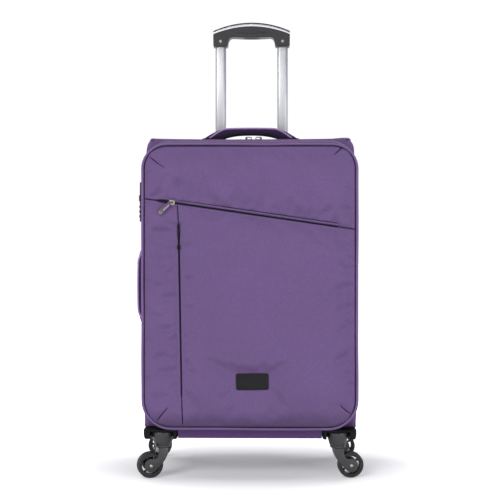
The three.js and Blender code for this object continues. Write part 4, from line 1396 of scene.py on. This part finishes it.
def mirrored(half):
    """A profile of (radius, along) points followed by its mirror image on the other side of the middle."""
    return half + [(r, -a) for r, a in reversed(half)]


for i in (1, 2, 3):
    box = span(f"lock_dial_{i}")
    half, radius = box.h / 2, box.w / 2
    dial = lathe(
        f"lock_wheel_{i}", mirrored([(radius - 1.2, -half), (radius, 1 - half)]),
        Vector((box.cx, box.cy, box.cz)) * MM, UPWARDS, LOOK.black, 60,
        lambda k: 1 - 0.05 * (k % 3 == 0),
    )
    place(dial, f"lock_dial_{i}", "black_plastic", f"lock_dial_{i}")

BADGE_TILT = math.radians(0.7)


def badge_ring(width, height, corner, y):
    """A rounded rectangle on the front panel, turned by the badge's tilt."""
    c, s = math.cos(BADGE_TILT), math.sin(BADGE_TILT)
    return [
        at(BADGE.x + u * c - v * s, y, BADGE.z + u * s + v * c)
        for u, v in rounded_rect(width, height, corner)
    ]


badge_back = badge_box.y1 - Y0 + 0.4
badge_face = badge_box.y0 - Y0
w, h = BADGE.w, BADGE.h
patch = loft("badge_patch", [
    badge_ring(w, h, 4.0, badge_back),
    badge_ring(w, h, 4.0, badge_face + 0.6),
    badge_ring(w - 1.0, h - 1.0, 3.6, badge_face),
    badge_ring(w - 3.0, h - 3.0, 3.0, badge_face),
    badge_ring(w - 4.2, h - 4.2, 2.6, badge_face + 0.9),
    badge_ring(w - 6.0, h - 6.0, 2.2, badge_face + 1.0),
    badge_ring(w - 7.0, h - 7.0, 2.0, badge_face + 0.75),
], LOOK.badge)
place(patch, "lid", "badge_rubber", "badge")

# The pocket's pull: a notched enamel strip in its face and a small ring at its end
pull_box = span("pocket_pull")
TAB_SLANT = 231.0  # how far the tab is turned from the slot's direction
tab_angle = math.radians(TAB_SLANT) + math.atan2(POCKET[1][1] - POCKET[0][1], POCKET[1][0] - POCKET[0][0])
hang = Vector((math.cos(tab_angle), 0, math.sin(tab_angle)))
wide = Vector((-hang.z, 0, hang.x))
bar = Vector(JOINTS["pocket_pull_hinge"]["pos_m"])
tab_face = Vector((bar.x, pull_box.y0 * MM, bar.z))


def tab_block(name, along, half_wide, low, high, look):
    """A rounded block on the tab's face: along is its two distances from the bar, low and high its depths."""
    (start, end), middle = along, sum(along) / 2
    rings = []
    for inset, depth in ((0.0, low), (0.0, high - 0.25), (0.25, high)):
        rings.append([
            tab_face + (hang * (middle + u) + wide * v + Vector((0, -1, 0)) * depth) * MM
            for u, v in rounded_rect(end - start - 2 * inset, 2 * (half_wide - inset), 0.5, 3)
        ])
    return loft(name, rings, look)


insert = [tab_block("insert", (6.0, 23.0), 2.3, -0.3, 0.25, LOOK.strap)]
insert += [tab_block("notch", (7.0 + 2.3 * k, 8.4 + 2.3 * k), 1.9, 0.1, 0.7, LOOK.insert) for k in range(7)]
place(merge("pocket_pull_insert", insert), "pocket_pull", "zip_metal")
end_ring = sweep(
    "pocket_pull_ring",
    [tab_face + (hang * (28.3 + u) + wide * v) * MM for u, v in circle(1.9, 20)],
    disc(0.55 * MM, 8), LOOK.brass,
)
place(end_ring, "pocket_pull", "zip_metal")
dress(LOOK.brass, "pocket_slider", edge=0.5)
dress(LOOK.black, "flap_slider", edge=0.35)
dress(LOOK.gunmetal, "pocket_pull", "main_slider_left", "main_slider_right", edge=0.35)
dress(LOOK.gunmetal, "main_pull_left", "main_pull_right", edge=0.35)


def slot_coil(name, ends):
    """The zip inside a slot: its two dark coils."""
    a, b = ends
    count = round(math.dist(a, b) / 1.1)
    for side in (-1, 1):
        along = Vector((b[0] - a[0], b[1] - a[1])).normalized()
        path = []
        for i in range(count + 1):
            t = i / count
            x = a[0] + (b[0] - a[0]) * t - along.y * side * 0.55
            z = a[1] + (b[1] - a[1]) * t + along.x * side * 0.55
            depth = cloth_y(x, z) + SLOT_DEPTH - 2.3
            path.append(at(x, depth, z))
        teeth = sweep(
            f"{name}_coil_{'a' if side < 0 else 'b'}", path, toothed(1.0 * MM, 6, 0.3),
            LOOK.coil, closed=False,
        )
        place(teeth, "lid", "zip_tape")


slot_coil("pocket_zip", POCKET)
slot_coil("flap_zip", FLAP)


# ----------------------------------------------------------------------------------------------------
# Casters

NICHE = SimpleNamespace(radius=22.5, top=91.0)  # hollow in each housing, round its socket
HUB = 25  # the wheel's centre: this far behind the swivel and above the floor
BOSS = 13  # radius of the fork's round foot


def fork_outline():
    """The fork's side: down from its collar in an S-curve to a round boss; (along, z) about the swivel."""
    def curve(a, b, c, n):
        return [
            tuple(a[i] * (1 - t) ** 2 + 2 * b[i] * t * (1 - t) + c[i] * t * t for i in (0, 1))
            for t in [k / n for k in range(n + 1)]
        ]
    boss = [
        (HUB + BOSS * math.cos(angle), HUB + BOSS * math.sin(angle))
        for angle in through(math.pi * 1.15, math.pi * 2.6, math.pi * 1.45 / 26)
    ]
    front = curve((-8.5, 50), (-4, 33), boss[0], 10)
    back = curve(boss[-1], (9.0, 37.5), (10.5, 58.4), 12)
    return [(-8.5, 58.4)] + front[:-1] + boss + back[1:]


def subtract(obj, tool):
    """Cut a tool out of an object for good."""
    cutter = obj.modifiers.new("Cut", "BOOLEAN")
    cutter.operation = "DIFFERENCE"
    cutter.object = tool
    cutter.solver = "EXACT"
    result = bpy.data.meshes.new_from_object(obj.evaluated_get(bpy.context.evaluated_depsgraph_get()))
    obj.modifiers.remove(cutter)
    obj.data = result
    bpy.data.objects.remove(tool)
    return obj


HOUSING_LEVELS = ((0.6, 0), (0.0, 0.8), (0.0, 10), (0.8, 15), (2.2, 18), (4, 19))  # inset, depth from the top
SOCKET_PROFILE = [
    (4, 59), (14.2, 59), (14.9, 59.6), (14.9, 61.2), (14.5, 61.8), (15.1, 62.4), (18.0, 71), (20.8, 81),
    (21.8, 86.0), (21.8, 88.0), (20.6, 90.0), (17.8, 91.6), (11, 92.8), (4, 93),
]
NECK_PROFILE = [(3, 58.8), (10.6, 58.8), (10.6, 57.2), (9.2, 56.4), (9.2, 50), (3, 49)]
RIVET_PROFILE = mirrored([(0.3, 15.6), (1.6, 15.5), (2.7, 15.0), (3.5, 14.1), (3.6, 13.6), (2.2, 13.4)])
TYRE_PROFILE = mirrored([
    (19.3, 9.2), (20.6, 9.8), (22.0, 9.9), (22.3, 9.5), (22.6, 9.8), (23.6, 9.3), (24.5, 8.1), (25, 6.2),
    (25, 2.2), (24.3, 1.7), (24.3, 0.4),
]) + [(19.3, 0.0)]
WHEEL_RIM = mirrored([(17.0, 7.8), (19.4, 8.6)])
WHEEL_CORE = mirrored([(2.6, 9.6), (6.2, 9.6), (7.4, 8.4)])
SPOKES = 6
# Stations of a spoke: how far out, half its width, half its depth and how far it has turned
SPOKE = ((6.6, 2.6, 5.5, 0.0), (9.5, 1.7, 4.6, 0.10), (13.5, 1.5, 4.2, 0.16), (17.6, 2.4, 5.0, 0.18))


def caster_housing(corner, centre):
    """A moulded corner block with a bell-shaped socket standing in front of it."""
    box = span(f"housing_{corner}")
    levels = [(inset, box.z1 - down) for inset, down in HOUSING_LEVELS]
    plate = loft(f"housing_block_{corner}", plan_rings(box, levels, 6, 6), LOOK.black)
    top_z = NICHE.top - box.z0
    foot = centre + UPWARDS * box.z0 * MM
    subtract(plate, lathe("well", [(NICHE.radius, -3), (NICHE.radius, top_z)], foot, UPWARDS, LOOK.black, 40))
    away = -60 if corner.startswith("front") else 60
    plan = ((-NICHE.radius, 0), (NICHE.radius, 0), (NICHE.radius, away), (-NICHE.radius, away))
    mouth = [[centre + Vector((u, v, z)) * MM for u, v in plan] for z in (box.z0 - 3, NICHE.top)]
    subtract(plate, loft("mouth", mouth, LOOK.black))
    bevel(plate, 0.8, 2, 40)
    place(plate, "case", "black_plastic", f"housing_{corner}")
    socket = lathe(f"caster_socket_{corner}", SOCKET_PROFILE, centre, UPWARDS, LOOK.socket, 56)
    place(socket, "case", "black_plastic")


def caster_fork(corner, centre, hub_place, axle):
    """One moulding with a cheek on each side of the wheel, and its neck."""
    body = f"caster_{corner}"
    trail = Vector((hub_place.x - centre.x, hub_place.y - centre.y, 0)).normalized()
    points = [centre + (trail * a + UPWARDS * z) * MM for a, z in fork_outline()]
    fork = slab(f"fork_arm_{corner}", points, axle * -14 * MM, axle * 14 * MM, LOOK.socket)
    subtract(fork, lathe("well", [(27.4, -11.1), (27.4, 11.1)], hub_place, axle, LOOK.socket, 64))
    bevel(fork, 1.1, 3, 30)
    place(fork, body, "black_plastic", f"fork_{corner}")
    neck = lathe(f"fork_neck_{corner}", NECK_PROFILE, centre, UPWARDS, LOOK.black, 40)
    place(neck, body, "black_plastic")


def caster_wheel(corner, hub_place, axle):
    """A grooved tyre on a rim with six spokes."""
    body = f"wheel_{corner}"
    tyre = lathe(f"tyre_{corner}", TYRE_PROFILE, hub_place, axle, LOOK.rubber, 72, closed=True)
    place(tyre, body, "wheel_rubber", body)
    parts = [
        lathe("rim", WHEEL_RIM, hub_place, axle, LOOK.socket, 56, closed=True),
        lathe("core", WHEEL_CORE, hub_place, axle, LOOK.socket, 32, closed=True),
    ]
    side = axle.orthogonal().normalized()
    other = axle.cross(side)
    for k in range(SPOKES):
        angle = TAU * k / SPOKES
        rings = []
        for r, half_wide, half_deep, turn in SPOKE:
            out = side * math.cos(angle + turn) + other * math.sin(angle + turn)
            tangent = axle.cross(out)
            rings.append([
                hub_place + (out * r + tangent * u + axle * v) * MM
                for u, v in rounded_rect(2 * half_wide, 2 * half_deep, 1.0, 3)
            ])
        parts.append(loft("spoke", rings, LOOK.socket))
    place(merge(f"hub_{corner}", parts), body, "wheel_rubber")


for corner in ("front_left", "front_right", "rear_left", "rear_right"):
    spin = JOINTS[f"wheel_{corner}_spin"]
    swivel_x, swivel_y, _ = JOINTS[f"caster_{corner}_swivel"]["pos_m"]
    swivel_foot = Vector((swivel_x, swivel_y, 0))
    hub_place, axle = Vector(spin["pos_m"]), Vector(spin["axis"]).normalized()
    caster_housing(corner, swivel_foot)
    caster_fork(corner, swivel_foot, hub_place, axle)
    caster_wheel(corner, hub_place, axle)
    # The axle ends in a domed rivet head on each cheek of the fork.
    rivet = lathe(f"rivet_{corner}", RIVET_PROFILE, hub_place, axle, LOOK.brass, 28)
    place(rivet, f"caster_{corner}", "brass_fastener", f"axle_{corner}")


# ----------------------------------------------------------------------------------------------------
# Studio

def studio():
    """White paper all round, lit by soft lamps; further away it glows with painted light, and the glow dims
    in an oval round the case, so the shadow there is partly the lamps' and partly painted.
    """
    look = Nodes("studio_paper")
    away = look.add("ShaderNodeVectorMath", operation="LENGTH")
    look.feed(away.inputs[0], look.vector("MULTIPLY", look.place, (0.55, 1, 1)))
    paper = look.finish(rgb(0.84, 0.84, 0.85), look.ramp(look.noise(2, 2), 0, 1, 0.8, 0.9))
    look.shader.inputs["Emission Color"].default_value = rgb(0.97, 0.98, 1.0)
    # Painted light: the paper's glow stays low in an oval that follows the case's wide footprint and turns
    # white further away.
    painted_floor_glow = look.ramp(away.outputs["Value"], 0.11, 0.32, 0.15, 0.98)
    look.feed(look.shader.inputs["Emission Strength"], painted_floor_glow)
    sides = 72
    rings = [
        [Vector((x, y, 0)) for x, y in circle(radius, sides)]
        for radius in (0.3, 0.8, 1.6, 3.0, 6.0, 30.0)
    ]
    faces = ring_faces(len(rings), sides) + [tuple(reversed(range(sides)))]
    floor = mesh_object("floor", [p for r in rings for p in r], faces, paper)

    def lamp(name, place_m, target, size, power):
        data = bpy.data.lights.new(name, "AREA")
        data.shape = "RECTANGLE"
        data.size, data.size_y = size
        data.energy = power
        obj = bpy.data.objects.new(name, data)
        obj.location = place_m
        obj.rotation_euler = (Vector(target) - Vector(place_m)).to_track_quat("-Z", "Y").to_euler()
        bpy.context.scene.collection.objects.link(obj)

    middle = (0, 0, 0.4)
    lamp("key", (-2.4, -4.3, 3.4), middle, (2.4, 2.0), 140)
    lamp("fill", (2.4, -3.0, 0.9), middle, (1.2, 1.4), 26)
    lamp("top", (0, -0.1, 3.2), middle, (2.4, 2.4), 22)
    lamp("back_left", (-2.2, 1.5, 1.4), middle, (0.9, 2.0), 14)
    lamp("back_right", (2.2, 1.5, 1.4), middle, (0.9, 2.0), 14)

    # The sky is white low down, where the camera sees it, and dimmer overhead.
    world = bpy.data.worlds.new("studio")
    world.use_nodes = True
    tree = world.node_tree
    sky = tree.nodes["Background"]
    sky.inputs["Color"].default_value = rgb(0.97, 0.98, 1.0)
    height = tree.nodes.new("ShaderNodeSeparateXYZ")
    fade = tree.nodes.new("ShaderNodeMapRange")
    for key, number in zip(("From Min", "From Max", "To Min", "To Max"), (0.24, 0.55, 1.05, 0.16)):
        fade.inputs[key].default_value = number
    tree.links.new(tree.nodes.new("ShaderNodeTexCoord").outputs["Generated"], height.inputs[0])
    tree.links.new(height.outputs["Z"], fade.inputs["Value"])
    tree.links.new(fade.outputs["Result"], sky.inputs["Strength"])
    bpy.context.scene.world = world
    bpy.context.scene.view_settings.view_transform = "Standard"

    lens = bpy.data.cameras.new("camera")
    lens.lens = 72
    lens.sensor_width = 36
    lens.clip_end = 50
    camera = bpy.data.objects.new("camera", lens)
    camera.location = at(32.4, -1913, 443)
    camera.rotation_euler = (math.radians(90), 0, math.radians(0.95))
    bpy.context.scene.collection.objects.link(camera)
    bpy.context.scene.camera = camera


studio()
